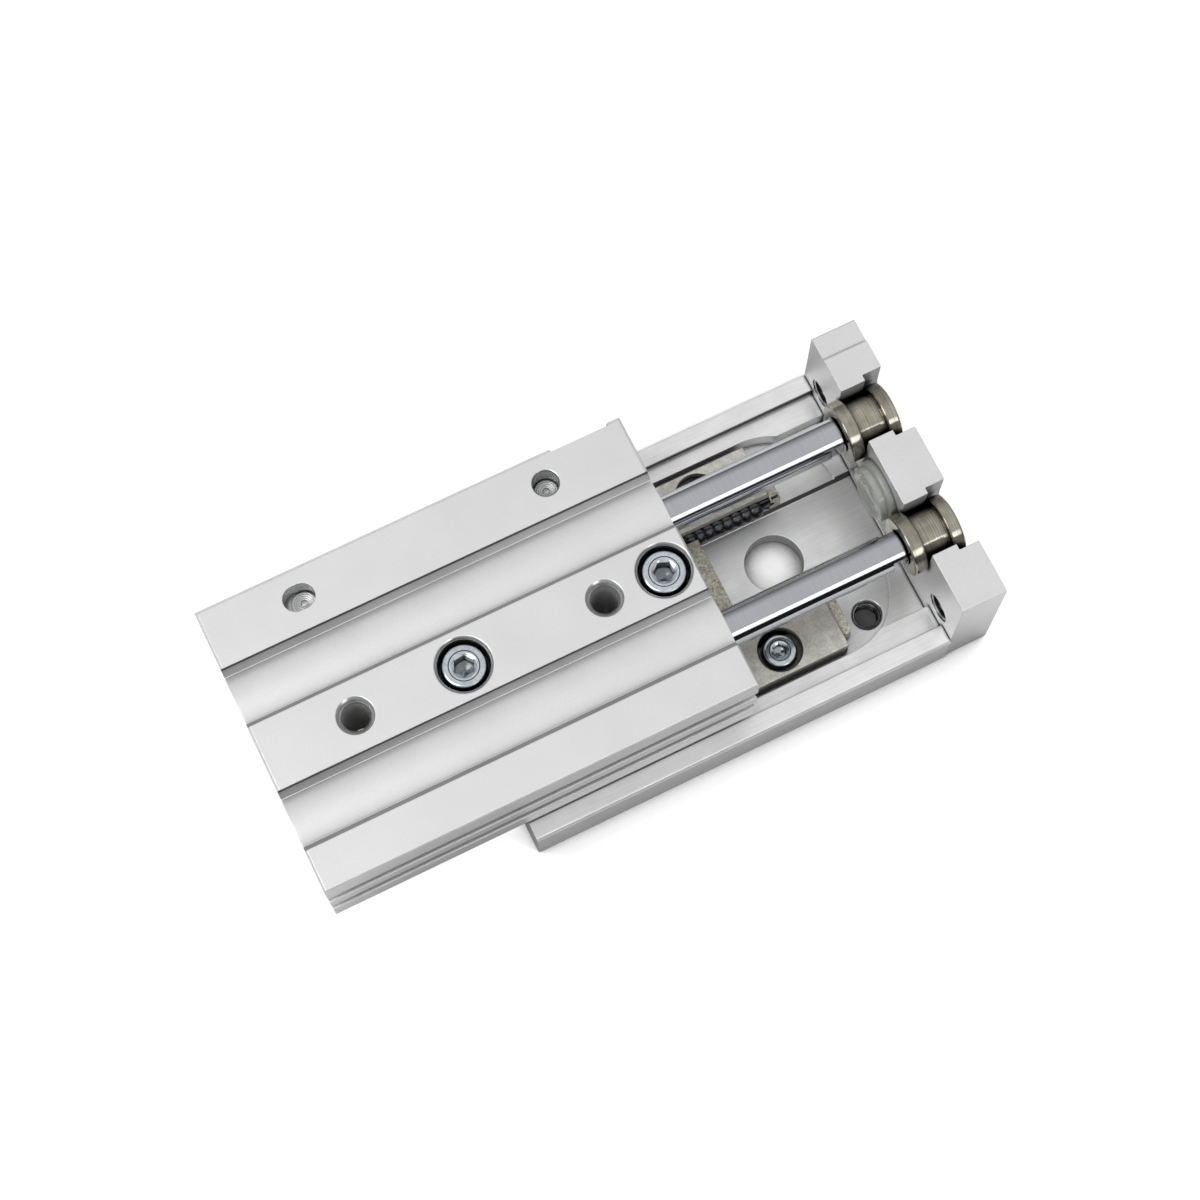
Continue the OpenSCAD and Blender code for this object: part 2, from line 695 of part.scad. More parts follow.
module table_profile() {
  polygon([
    [-table_half + table_edge, 0], [table_half - table_edge, 0], [table_half, table_edge],
    [table_half, ridge_z - table_edge], [table_half - table_edge, ridge_z], [ridge_in, ridge_z],
    [ridge_in, ledge_z], [front_half, ledge_z], [front_half, front_floor_z],
    [web_half + web_slope, front_floor_z], [web_half, web_z], [-web_half, web_z],
    [-web_half - web_slope, front_floor_z], [-front_half, front_floor_z], [-front_half, ledge_z],
    [-ridge_in, ledge_z], [-ridge_in, ridge_z], [-table_half + table_edge, ridge_z],
    [-table_half, ridge_z - table_edge], [-table_half, table_edge]
  ]);
}

module table_plate() color([0.82, 0.83, 0.84]) {
  difference() {
    along_x(table_rear, table_front - table_rear) table_profile();
    translate([0, 0, pocket_z]) linear_extrude(height = ridge_z) pocket_plan();
    // Workpiece holes, tapped through the floor.
    for (x = [-work_pitch_x / 2, work_pitch_x / 2], y = [-work_pitch_y / 2, work_pitch_y / 2]) {
      translate([x, y, -1]) cylinder(d = work_d, h = ledge_z + 1);
      mouth_up(x, y, pocket_z, work_d, work_d + 3 * thread_edge);
    }
    // Ways for the bolts that hold the body, in line with them when retracted.
    for (x = mount_xs) translate([x + stroke, 0, -1]) cylinder(d = access_d, h = ledge_z + 1);
    // Locating holes of the workpiece face.
    translate([work_pitch_x / 2, 0, -1]) cylinder(d = pin_d, h = table_pin_depth + 1);
    for (shift = [-pin_slot / 2, pin_slot / 2])
      translate([-work_pitch_x / 2 + shift, 0, -1]) cylinder(d = pin_d, h = table_pin_depth + 1);
    translate([-work_pitch_x / 2 - pin_slot / 2, -pin_d / 2, -1]) cube([pin_slot, pin_d, table_pin_depth + 1]);
    // Tapped holes for the guide block screws.
    for (x = block_screw_xs, side = [far, near])
      translate([x, side * block_screw_y, 1]) cylinder(d = block_screw_d + 2 * snug_fit, h = pocket_z);
    // Tapped holes and dowel holes in the front end.
    for (side = [far, near]) {
      rod_x(table_front - end_screw_len, end_screw_d + 2 * snug_fit, end_screw_len + 1, side * end_screw_y, end_screw_z);
      rod_x(table_front - dowel_len / 2, dowel_d + 2 * snug_fit, dowel_len, side * dowel_y, front_floor_z / 2);
    }
  }
}

// ---------------------------------------------------------------- end plate

// A slot for a bush, open at the top, with a round bottom under the rod's axis.
module bush_slot(x, len, half_w, side) {
  rod_x(x, 2 * half_w, len, side * bore_y, bore_z);
  translate([x, side * bore_y - half_w, bore_z]) cube([len, 2 * half_w, end_top - bore_z + 1]);
}

module end_plate() color([0.80, 0.81, 0.82]) {
  neck_half = bush_neck_d / 2 + neck_play;
  recess_half = bush_flange_d / 2 + flange_play;
  difference() {
    along_x(table_front, end_t) polygon([
      [-end_half + table_edge, 0], [end_half - table_edge, 0], [end_half, table_edge],
      [end_half, end_top - end_step - small_edge], [end_half - small_edge, end_top - end_step],
      [end_step_y + end_step, end_top - end_step], [end_step_y, end_top],
      [-end_half + small_edge, end_top], [-end_half, end_top - small_edge], [-end_half, table_edge]
    ]);
    for (side = [far, near]) {
      bush_slot(table_front - 1, end_t + 2, neck_half, side);
      bush_slot(wall_x, end_t, recess_half, side);
      // Tapped holes right through.
      rod_x(table_front - 1, work_d, end_t + 2, side * end_hole_y, end_hole_z);
      for (x = [table_front - eps, end_front - thread_edge])
        rod_x(x, work_d + 2 * thread_edge, thread_edge + eps, side * end_hole_y, end_hole_z);
      // Counterbored screw holes and dowel holes.
      rod_x(table_front - 1, end_screw_d + 2 * screw_play, end_t + 2, side * end_screw_y, end_screw_z);
      rod_x(end_front - end_head_h - small_edge, end_head_d + 2 * screw_play, end_head_h + 1,
            side * end_screw_y, end_screw_z);
      rod_x(table_front - 1, dowel_d + 2 * snug_fit, dowel_len / 2 + 1 + snug_fit, side * dowel_y, front_floor_z / 2);
    }
    // Room for the rail's front end when the table is retracted.
    translate([table_front - 1, -rail_half - rail_way_gap, rail_under - rail_way_gap])
      cube([rail_way + 1, 2 * (rail_half + rail_way_gap), rail_top - rail_under + 2 * rail_way_gap]);
    // Seat of the bumper's stem.
    rod_x(table_front - 1, stem_d + 2 * snug_fit, stem_len + 1 + small_edge, 0, bumper_z);
  }
}

module end_plate_screws() color([0.74, 0.77, 0.80]) {
  shank = end_t - end_head_h - small_edge + end_screw_len - thread_edge;
  for (side = [far, near]) translate([end_front - end_head_h - small_edge, side * end_screw_y, end_screw_z])
    rotate([0, 90, 0]) socket_screw(end_screw_d, shank, end_head_d, end_head_h, rail_hex);
}

module end_plate_dowels() color([0.75, 0.75, 0.77]) {
  for (side = [far, near])
    broken_rod_x(table_front - dowel_len / 2, dowel_d, dowel_len, small_edge, side * dowel_y, front_floor_z / 2);
}

// Moulded bumper: a dished disc with a stem that presses into the end plate.
module end_bumper() color([0.70, 0.70, 0.62]) {
  rim_r = bumper_d / 2;
  face_r = bumper_face_d / 2;
  dish_r = face_r - 1.6;
  translate([table_front - bumper_out, 0, bumper_z]) rotate([0, 90, 0]) rotate_extrude() polygon([
    [0, 0.5], [dish_r - 0.3, 0.5], [dish_r, 0], [face_r - small_edge, 0], [face_r, small_edge],
    [face_r, bumper_out / 2], [rim_r, bumper_out / 2 + 0.4], [rim_r, bumper_out],
    [stem_d / 2, bumper_out], [stem_d / 2, bumper_out + stem_len - small_edge],
    [stem_d / 2 - small_edge, bumper_out + stem_len], [0, bumper_out + stem_len]
  ]);
}

// ---------------------------------------------------------------- guide blocks

module block_profile() {
  difference() {
    polygon([
      [block_in, pocket_z + race_edge], [block_in + race_edge, pocket_z], [block_out - small_edge, pocket_z],
      [block_out, pocket_z + small_edge], [block_out, block_top - small_edge],
      [block_out - small_edge, block_top], [block_in + block_edge, block_top], [block_in, block_top - block_edge]
    ]);
    translate([ball_y, ball_z]) circle(d = race_d);
    // Return way, closed below by the table.
    translate([return_y, return_z]) circle(d = race_d);
    translate([return_y - race_d / 2, pocket_z - 1]) square([race_d, return_z - pocket_z + 1]);
  }
}

// Half ring in the plane of the ball circuit, through which the balls turn at one end of a block.
module turn_way(end) {
  x = end == 1 ? block_front - turn_inset : block_rear + turn_inset;
  tilt = atan2(return_z - ball_z, return_y - ball_y);
  reach = turn_r + race_d;
  translate([x, (ball_y + return_y) / 2, (ball_z + return_z) / 2]) rotate([tilt, 0, 0]) intersection() {
    rotate_extrude() translate([turn_r, 0]) circle(d = race_d);
    translate([end == 1 ? 0 : -reach, -reach, -race_d]) cube([reach, 2 * reach, 2 * race_d]);
  }
}

module guide_block(side) color([0.66, 0.64, 0.60]) {
  mirror([0, side == far ? 0 : 1, 0]) difference() {
    along_x(block_rear, block_len) block_profile();
    for (x = block_screw_xs) {
      translate([x, block_screw_y, 0]) cylinder(d = block_screw_d + 2 * screw_play, h = block_top);
      translate([x, block_screw_y, block_sink_z]) cylinder(d = block_sink_d, h = block_sink + 1);
    }
    for (end = [0, 1]) turn_way(end);
  }
}

module guide_block_screws() color([0.60, 0.61, 0.63]) {
  for (x = block_screw_xs, side = [far, near]) translate([x, side * block_screw_y, block_sink_z])
    socket_screw(block_screw_d, block_sink_z - 1 - small_edge, block_head_d, block_head_h, rail_hex - 1);
}

// Moulded end plates that turn the balls round, one at each end of a block.
module return_plates(side) color([0.75, 0.72, 0.60]) {
  corner = return_t / 2;
  mirror([0, side == far ? 0 : 1, 0]) for (end = [0, 1]) {
    x = end == 1 ? block_front : block_rear - return_t;
    outer_x = end == 1 ? x + return_t - corner : x + corner;
    difference() {
      translate([0, 0, pocket_z + slide_fit]) linear_extrude(height = return_top - pocket_z - slide_fit) {
        translate([x, return_in]) square([return_t, return_out - return_in - corner]);
        translate([end == 1 ? x : x + corner, return_in])
          square([return_t - corner, return_out - return_in]);
        translate([outer_x, return_out - corner]) circle(r = corner);
      }
      turn_way(end);
      // Notch that shows the wire's end, and the hole that holds it.
      translate([x + (return_t - wire_notch[1]) / 2, return_in - 1, wire_z])
        cube([wire_notch[1], wire_notch[0] + 1, return_top]);
      wire_path(snug_fit);
    }
  }
}

// The straight way of one retaining wire, from end plate to end plate.
module wire_path(gap) {
  rod_x(block_rear - wire_grip, wire_d + 2 * gap, block_len + 2 * wire_grip, wire_y, wire_z);
}

module ball_wire(side) color([0.70, 0.71, 0.72]) {
  mirror([0, side == far ? 0 : 1, 0]) wire_path(0);
}

// Centre of the ball that lies a given way along the circuit, as [x, y, z].
function turn_point(x, angle) =
  let (mid = [(ball_y + return_y) / 2, (ball_z + return_z) / 2],
       arm = [ball_y - return_y, ball_z - return_z] / (2 * turn_r))
  [x + turn_r * sin(angle), mid[0] + turn_r * cos(angle) * arm[0], mid[1] + turn_r * cos(angle) * arm[1]];

function circuit_point(s) =
  let (turn = PI * turn_r, front = block_front - turn_inset, rear = block_rear + turn_inset)
  s < run_len ? [rear + s, ball_y, ball_z] :
  s < run_len + turn ? turn_point(front, (s - run_len) / turn * 180) :
  s < 2 * run_len + turn ? [front - (s - run_len - turn), return_y, return_z] :
  turn_point(rear, 180 + (s - 2 * run_len - turn) / turn * 180);

module guide_balls(side) color([0.80, 0.80, 0.82]) {
  for (i = [0 : ball_count - 1]) {
    p = circuit_point(i * circuit_len / ball_count);
    translate([p[0], side * p[1], p[2]]) sphere(d = ball_d, $fn = 16);
  }
}

// ---------------------------------------------------------------- rods and pistons

// Rod: a spigot through the piston, the ground rod, wrench flats and the bush's thread.
module piston_rod(side) color([0.80, 0.80, 0.84]) {
  y = side * bore_y;
  shoulder_x = magnet_x + magnet_len + spigot_seat;
  thread_end = bush_end_x - rod_end_inset;
  difference() {
    union() {
      broken_rod_x(piston_rear_x + spigot_sink, spigot_d, shoulder_x - piston_rear_x, small_edge, y, bore_z);
      broken_rod_x(shoulder_x, rod_d, bush_inner_x - shoulder_x, small_edge, y, bore_z);
      broken_rod_x(bush_inner_x - 1, rod_thread_d, thread_end - bush_inner_x + 1, small_edge, y, bore_z);
    }
    for (flip = [far, near]) translate([bush_inner_x - flat_len - small_edge, y, bore_z]) rotate([flip * 90 - 90, 0, 0])
      translate([0, flat_across / 2, -rod_d]) cube([flat_len, rod_d, 2 * rod_d]);
  }
}

module piston_rear(side) color([0.76, 0.77, 0.78]) {
  y = side * bore_y;
  difference() {
    broken_rod_x(piston_rear_x, piston_d, piston_rear_len, small_edge, y, bore_z);
    rod_x(piston_rear_x - 1, spigot_d + 2 * snug_fit, piston_rear_len + 2, y, bore_z);
    tube_x(piston_rear_x + piston_seal_inset, bore_d, bore_d - 2 * slide_fit - 2 * piston_seal_t,
           piston_seal_w, y, bore_z);
  }
}

module piston_seal(side) color([0.08, 0.08, 0.08]) {
  inner = bore_d / 2 - slide_fit - piston_seal_t + snug_fit;
  outer = bore_d / 2 - slide_fit;
  w = piston_seal_w - 2 * snug_fit;
  translate([piston_rear_x + piston_seal_inset + snug_fit, side * bore_y, bore_z]) rotate([0, 90, 0])
    rotate_extrude() polygon([
      [inner, 0], [outer - seal_lip, 0], [outer, seal_lip], [outer - seal_lip, w / 2],
      [outer, w - seal_lip], [outer - seal_lip, w], [inner, w]
    ]);
}

module piston_magnet(side) color([0.25, 0.25, 0.27]) {
  tube_x(magnet_x, magnet_d, spigot_d + 2 * snug_fit, magnet_len, side * bore_y, bore_z);
}

// Front piece: it spans the rod's shoulder and backs the magnet.
module piston_front(side) color([0.76, 0.77, 0.78]) {
  y = side * bore_y;
  x = magnet_x + magnet_len;
  difference() {
    broken_rod_x(x, piston_d, piston_front_len, small_edge, y, bore_z);
    rod_x(x - 1, spigot_d + 2 * snug_fit, spigot_seat + 2, y, bore_z);
    rod_x(x + spigot_seat - snug_fit, rod_d + 2 * snug_fit, piston_front_len, y, bore_z);
  }
}

module rod_bumper(side) color([0.70, 0.60, 0.30]) {
  tube_x(piston_front_x - rod_bumper_len, nose_d, rod_d + 2 * snug_fit, rod_bumper_len, side * bore_y, bore_z);
}

// Spool that ties a rod to the end plate and lets it float sideways.
module floating_bush(side) color([0.62, 0.59, 0.50]) {
  y = side * bore_y;
  difference() {
    union() {
      broken_rod_x(bush_inner_x, bush_flange_d, bush_inner_t, small_edge, y, bore_z);
      rod_x(bush_inner_x + small_edge, bush_neck_d, bush_end_x - bush_inner_x - 2 * small_edge, y, bore_z);
      broken_rod_x(bush_outer_x, bush_flange_d, bush_outer_t, small_edge, y, bore_z);
    }
    rod_x(bush_inner_x - 1, rod_thread_d + 2 * snug_fit, bush_end_x - bush_inner_x + 2, y, bore_z);
  }
}

// ---------------------------------------------------------------- nodes

cylinder_body();
guide_rail();
rail_screws();
head_cap(far);  // head_cap_far
head_cap(near);  // head_cap_near
head_cap_seal(far);  // head_cap_seal_far
head_cap_seal(near);  // head_cap_seal_near
rear_ring(far);  // rear_ring_far
rear_ring(near);  // rear_ring_near
rod_gland(far);  // rod_gland_far
rod_gland(near);  // rod_gland_near
gland_seal(far);  // gland_seal_far
gland_seal(near);  // gland_seal_near
rod_seal(far);  // rod_seal_far
rod_seal(near);  // rod_seal_near
front_ring(far);  // front_ring_far
front_ring(near);  // front_ring_near
table_plate();
end_plate();
end_plate_screws();
end_plate_dowels();
guide_block(far);  // guide_block_far
guide_block(near);  // guide_block_near
guide_block_screws();
return_plates(far);  // return_plates_far
return_plates(near);  // return_plates_near
guide_balls(far);  // guide_balls_far
guide_balls(near);  // guide_balls_near
ball_wire(far);  // ball_wire_far
ball_wire(near);  // ball_wire_near
piston_rod(far);  // piston_rod_far
piston_rod(near);  // piston_rod_near
piston_rear(far);  // piston_rear_far
piston_rear(near);  // piston_rear_near
piston_front(far);  // piston_front_far
piston_front(near);  // piston_front_near
piston_seal(far);  // piston_seal_far
piston_seal(near);  // piston_seal_near
piston_magnet(far);  // piston_magnet_far
piston_magnet(near);  // piston_magnet_near
rod_bumper(far);  // rod_bumper_far
rod_bumper(near);  // rod_bumper_near
floating_bush(far);  // floating_bush_far
floating_bush(near);  // floating_bush_near
end_bumper();
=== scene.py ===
"""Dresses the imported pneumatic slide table: softened metal, screws, threads, balls, finishes and a pale studio."""

import json
import logging
import math
from collections.abc import Callable
from dataclasses import dataclass
from enum import Enum

import bmesh
import bpy
from mathutils import Matrix, Vector

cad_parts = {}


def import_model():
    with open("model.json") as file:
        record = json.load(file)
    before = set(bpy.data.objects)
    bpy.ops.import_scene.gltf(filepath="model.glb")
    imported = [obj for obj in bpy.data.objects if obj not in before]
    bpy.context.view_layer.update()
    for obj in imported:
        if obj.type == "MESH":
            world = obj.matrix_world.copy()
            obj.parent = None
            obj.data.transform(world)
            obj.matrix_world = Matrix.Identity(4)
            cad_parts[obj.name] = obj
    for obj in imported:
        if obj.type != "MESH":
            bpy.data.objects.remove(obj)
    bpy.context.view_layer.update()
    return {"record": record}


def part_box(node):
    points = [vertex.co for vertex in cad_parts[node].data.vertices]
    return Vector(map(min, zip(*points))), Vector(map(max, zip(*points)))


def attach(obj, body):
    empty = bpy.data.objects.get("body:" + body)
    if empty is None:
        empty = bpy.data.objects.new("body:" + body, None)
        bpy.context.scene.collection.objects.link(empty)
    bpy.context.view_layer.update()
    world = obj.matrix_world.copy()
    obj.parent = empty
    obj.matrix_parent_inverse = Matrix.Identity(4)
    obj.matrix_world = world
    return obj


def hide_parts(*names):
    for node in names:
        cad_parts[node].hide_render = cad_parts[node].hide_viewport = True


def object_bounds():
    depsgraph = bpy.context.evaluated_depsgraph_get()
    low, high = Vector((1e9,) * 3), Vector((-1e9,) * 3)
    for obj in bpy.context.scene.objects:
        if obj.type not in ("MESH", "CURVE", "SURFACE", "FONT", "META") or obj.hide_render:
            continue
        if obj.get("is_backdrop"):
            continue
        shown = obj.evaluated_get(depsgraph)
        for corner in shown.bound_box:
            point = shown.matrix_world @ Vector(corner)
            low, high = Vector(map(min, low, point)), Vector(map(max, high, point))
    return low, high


log = logging.getLogger("slide_table")

MM = 0.001
WHITE = (1.0, 1.0, 1.0, 1.0)

# Corners closer than this are one, and edges flatter than this go.
WELD_MM = 0.002
FLAT_DEGREES = 0.6
# Edges sharper than these take a bevel, or stay sharp in the shading.
BEVEL_DEGREES = 34.0
SHARP_DEGREES = 32.0
SCREW_SHARP_DEGREES = 38.0
BALL_SHARP_DEGREES = 60.0
# How strongly large faces pull the normals beside them, from 1 to 100.
NORMAL_WEIGHT = 50
# How far a face's normal lies along an axis where the face is slanted, steep or square to it.
SLANTED, STEEP, SQUARE = 0.6, 0.8, 0.9

# The useful span of a noise, and its octaves in the slow shade and in the grain.
NOISE_SPAN = (0.3, 0.7)
CLOUD_DETAIL = 2.0
GRAIN_DETAIL = 3.0
# The shares of open sky that count as an inner corner and as open, and how wide a gap may be, for the shade painted
# into corners, gaps and holes.
SHADED_CORNER_SPAN = (0.48, 0.92)
SHADED_GAP_REACH_MM = 3.6
PIECE_SKY_RAYS = 6
FLOOR_SKY_RAYS = 8

Point = tuple[float, float, float]
Span = tuple[float, float]
EditMesh = bmesh.types.BMesh
Ring = list[bmesh.types.BMVert]
Mesh = bpy.types.Mesh
Face = bpy.types.MeshPolygon
Piece = bpy.types.Object
Socket = bpy.types.NodeSocket
Tree = bpy.types.NodeTree
Color = Socket | tuple[float, float, float, float]


class Body(Enum):
    """The two rigid bodies of the slide table, by their names in the frame."""

    CYLINDER = "cylinder"
    TABLE = "table"


class Side(Enum):
    """The two halves of the slide: far is towards +Y, near towards -Y."""

    FAR = "far"
    NEAR = "near"


class Lay(Enum):
    """The way a cutter or a die left its marks, as the marks' size in millimetres along X, Y and Z."""

    # Real lines and grains are about a tenth as wide. They are drawn this coarse so that they show.
    DRAWN_ALONG_X = (30.0, 0.35, 0.35)
    TURNED_ROUND_X = (0.16, 30.0, 30.0)
    GROUND_ALONG_X = (6.0, 0.22, 0.22)
    BLASTED = (0.3, 0.3, 0.3)
    MOULDED = (1.1, 1.1, 1.1)


class Axis(Enum):
    """The line that a piece is turned round or screwed in along, as its number in a vector."""

    ALONG_X = 0
    UPRIGHT = 2

    @property
    def turn(self) -> Point:
        """The turn that lays an upright shape along the axis, in radians about X, Y and Z."""
        return (0.0, math.radians(90), 0.0) if self is Axis.ALONG_X else (0.0, 0.0, 0.0)

    def point(self, along: float, radius: float, angle: float) -> Vector:
        """A point at a length along the axis, a radius from it and an angle round it."""
        side, up = radius * math.cos(angle), radius * math.sin(angle)
        return Vector((along, side, up)) if self is Axis.ALONG_X else Vector((side, up, along))


# ---- colour and nodes


def linear(code: str) -> tuple[float, float, float, float]:
    """Turns an sRGB hex colour into Blender's linear colour.

    Args:
        code: Six hex digits after a hash sign.

    Returns:
        The linear red, green and blue with an alpha of 1.
    """

    def channel(value: float) -> float:
        """One sRGB channel from 0 to 1, made linear."""
        return value / 12.92 if value <= 0.04045 else ((value + 0.055) / 1.055) ** 2.4

    red, green, blue = (channel(int(code[i : i + 2], 16) / 255) for i in (1, 3, 5))
    return (red, green, blue, 1.0)


@dataclass(frozen=True)
class Graph:
    """A node tree with short ways to add to it."""

    tree: Tree

    @classmethod
    def blank(cls, owner: bpy.types.Material | bpy.types.World) -> "Graph":
        """Empties the node tree of a material or a world.

        Args:
            owner: The material or the world.

        Returns:
            Its tree, ready for new nodes.
        """
        owner.use_nodes = True
        owner.node_tree.nodes.clear()
        return cls(owner.node_tree)

    def add(self, kind: str, links: dict[str | int, object] | None = None, **settings: object) -> bpy.types.Node:
        """Adds one node, sets it up and links its inputs.

        Args:
            kind: The node's type name.
            links: For each input, by name or number, either an output socket or a plain value.
            **settings: Attributes of the node, set before it is linked.

        Returns:
            The new node.
        """
        node = self.tree.nodes.new(kind)
        for name, value in settings.items():
            setattr(node, name, value)
        for key, value in (links or {}).items():
            if isinstance(value, Socket):
                self.tree.links.new(value, node.inputs[key])
            else:
                node.inputs[key].default_value = value
        return node

    def calculate(self, operation: str, *values: Socket | float) -> Socket:
        """Adds a math node with its inputs in order, and gives its result."""
        return self.add("ShaderNodeMath", dict(enumerate(values)), operation=operation).outputs[0]

    def mix(self, factor: Socket | float, first: Color, second: Color, blend: str = "MIX") -> Socket:
        """Adds a node that mixes two colours, and gives the result."""
        colours = {0: factor, 6: first, 7: second}
        return self.add("ShaderNodeMix", colours, data_type="RGBA", blend_type=blend).outputs[2]

    def stretch(self, value: Socket, span: Span, result: Span = (0.0, 1.0), curve: str = "LINEAR") -> Socket:
        """Maps one span of a value onto another, along a straight line or a smooth curve."""
        ends = {"From Min": span[0], "From Max": span[1], "To Min": result[0], "To Max": result[1]}
        return self.add("ShaderNodeMapRange", {"Value": value} | ends, interpolation_type=curve).outputs[0]

    def openness(self, reach_mm: float, rays: int, span: Span, result: Span) -> Socket:
        """Measures how open to the sky a point is within a reach, and maps a span of that onto a result."""
        sky = self.add("ShaderNodeAmbientOcclusion", {"Distance": reach_mm * MM}, samples=rays)
        return self.stretch(sky.outputs["AO"], span, result, "SMOOTHSTEP")

    def surface(self, look: dict[str, object]) -> None:
        """Ends a material with a principled shader that has the given inputs."""
        shader = self.add("ShaderNodeBsdfPrincipled", look)
        self.add("ShaderNodeOutputMaterial", {"Surface": shader.outputs[0]})


# ---- finishes


@dataclass(frozen=True)
class Finish:
    """A surface finish with a grain, a slow shade of colour, a roughness that follows them, and shade painted into its
    inner corners and gaps.

    Attributes:
        shade: The colour where grain and slow shade are lowest.
        spread: How far the roughness strays from its middle.
        cloud_mm: The size of the slow shade.
        shade_reach_mm: How far from an inner corner the painted shade reaches.
        crevice: What the painted shade leaves of the colour in the darkest corner.
        gap: The shares of open sky that count as closed in and as open, for the painted shade in gaps and holes.
        slot: The record's material slot, where whole pieces have this finish. Nothing in this script reads it.
        sockets: Further inputs of the shader with their values.
    """

    name: str
    colour: str
    shade: str
    metallic: float
    roughness: float
    spread: float
    lay: Lay
    bump_mm: float
    cloud_mm: float = 9.0
    shade_reach_mm: float = 0.8
    crevice: float = 0.06
    gap: Span = (0.0, 0.24)
    slot: str = ""
    sockets: tuple[tuple[str, object], ...] = ()

    def pattern(self, graph: Graph, sizes_mm: Point, detail: float) -> Socket:
        """Adds a noise whose features have the given real sizes.

        Args:
            graph: The material's nodes.
            sizes_mm: The size of a feature along X, Y and Z in millimetres.
            detail: The noise's octaves beyond the first.

        Returns:
            The noise's value, about 0.5 on average.
        """
        place = graph.add("ShaderNodeTexCoord").outputs["Object"]
        scale = tuple(1.0 / (size * MM) for size in sizes_mm)
        mapping = graph.add("ShaderNodeMapping", {"Vector": place, "Scale": scale})
        look = {"Vector": mapping.outputs["Vector"], "Scale": 1.0, "Detail": detail, "Roughness": 0.55}
        return graph.add("ShaderNodeTexNoise", look).outputs["Fac"]

    def painted_shade(self, graph: Graph, colour: Socket) -> Socket:
        """Paints shade into the colour: darker along inner corners and inside deep gaps and holes.

        Args:
            graph: The material's nodes.
            colour: The colour before the painted shade.

        Returns:
            The colour with shade painted into its corners and gaps.
        """
        corner = graph.openness(self.shade_reach_mm, PIECE_SKY_RAYS, SHADED_CORNER_SPAN, (self.crevice, 1.0))
        gap = graph.openness(SHADED_GAP_REACH_MM, PIECE_SKY_RAYS, self.gap, (self.crevice, 1.0))
        return graph.mix(1.0, colour, graph.calculate("MULTIPLY", corner, gap), "MULTIPLY")

    def build(self) -> bpy.types.Material:
        """Makes the material once and gives it back on later calls.

        Returns:
            The material.
        """
        known = bpy.data.materials.get(self.name)
        if known is not None:
            return known
        material = bpy.data.materials.new(self.name)
        graph = Graph.blank(material)
        cloud = self.pattern(graph, (self.cloud_mm,) * 3, CLOUD_DETAIL)
        grain = self.pattern(graph, self.lay.value, GRAIN_DETAIL)
        blend = graph.calculate("MULTIPLY_ADD", grain, 0.5, graph.calculate("MULTIPLY", cloud, 0.5))
        colour = graph.mix(graph.stretch(blend, NOISE_SPAN), linear(self.shade), linear(self.colour))
        bump = graph.add("ShaderNodeBump", {"Height": grain, "Strength": 1.0, "Distance": self.bump_mm * MM})
        look = {
            "Base Color": self.painted_shade(graph, colour),
            "Metallic": self.metallic,
            "Roughness": graph.stretch(
                blend, NOISE_SPAN, (self.roughness + self.spread, self.roughness - self.spread)
            ),
            "Normal": bump.outputs[0],
        }
        graph.surface(look | dict(self.sockets))
        return material


# Extruded aluminium, etched and clear anodised: a pale even satin.
ANODISED = Finish(
    "clear_anodised_aluminium", "#E6E6E6", "#DCDCDC", 0.75, 0.42, 0.04, Lay.BLASTED, 0.004, slot="anodised_aluminium"
)
# Bored and countersunk walls: smoother and darker than the drawn skin, with deep painted shade round the screw heads.
CUT = Finish(
    "bored_anodised_aluminium", "#CFD0D1", "#AFB0B1", 0.95, 0.22, 0.05, Lay.BLASTED, 0.002,
    shade_reach_mm=0.25, crevice=0.16, gap=(0.0, 0.3),
)
# Threads cut in aluminium, painted darker and with stronger painted shade, for the shade deep in the holes.
TAPPED = Finish(
    "tapped_aluminium", "#B4B5B6", "#7E7F80", 1.0, 0.22, 0.06, Lay.BLASTED, 0.002,
    shade_reach_mm=0.5, gap=(0.25, 0.75), slot="anodised_aluminium",
)
# The slanted walls of the grooves, painted darker for the shade on them.
SHADED_GROOVE_SLOPE = Finish(
    "shaded_groove_slope", "#ABABAB", "#9A9A9A", 0.75, 0.4, 0.05, Lay.DRAWN_ALONG_X, 0.003, shade_reach_mm=0.5
)
# Low steep walls in the grooves and beside a ledge, painted dark for the shade on them.
SHADED_STEP_WALL = Finish("shaded_step_wall", "#5E5E5F", "#4C4C4D", 0.7, 0.45, 0.05, Lay.DRAWN_ALONG_X, 0.003, shade_reach_mm=0.5)
# The same aluminium where a cutter left fine lines before anodising.
MILLED = Finish(
    "milled_anodised_aluminium", "#FAFAFA", "#E2E2E2", 0.66, 0.36, 0.05, Lay.GROUND_ALONG_X, 0.0025, 5.0,
    shade_reach_mm=0.7, slot="anodised_aluminium",
)
# The rail's steel, mottled a warm grey by heat treatment.
RAIL_STEEL = Finish(
    "ground_rail_steel", "#E2DDCB", "#5E5A4F", 0.6, 0.4, 0.08, Lay.BLASTED, 0.008, 0.4,
    shade_reach_mm=0.5, slot="rail_steel",
)
# Hardened block steel, ground to a cloudy grey.
BLOCK_STEEL = Finish(
    "ground_block_steel", "#E2E0D9", "#AFACA5", 0.72, 0.38, 0.08, Lay.BLASTED, 0.003, 1.3,
    gap=(0.05, 0.5), slot="block_steel",
)
# Bright zinc plate, slightly blue.
ZINC = Finish(
    "bright_zinc_plate", "#D8DFE4", "#B0B8BF", 1.0, 0.17, 0.05, Lay.BLASTED, 0.002, 1.5,
    shade_reach_mm=0.4, gap=(0.08, 0.62), slot="zinc_steel",
)
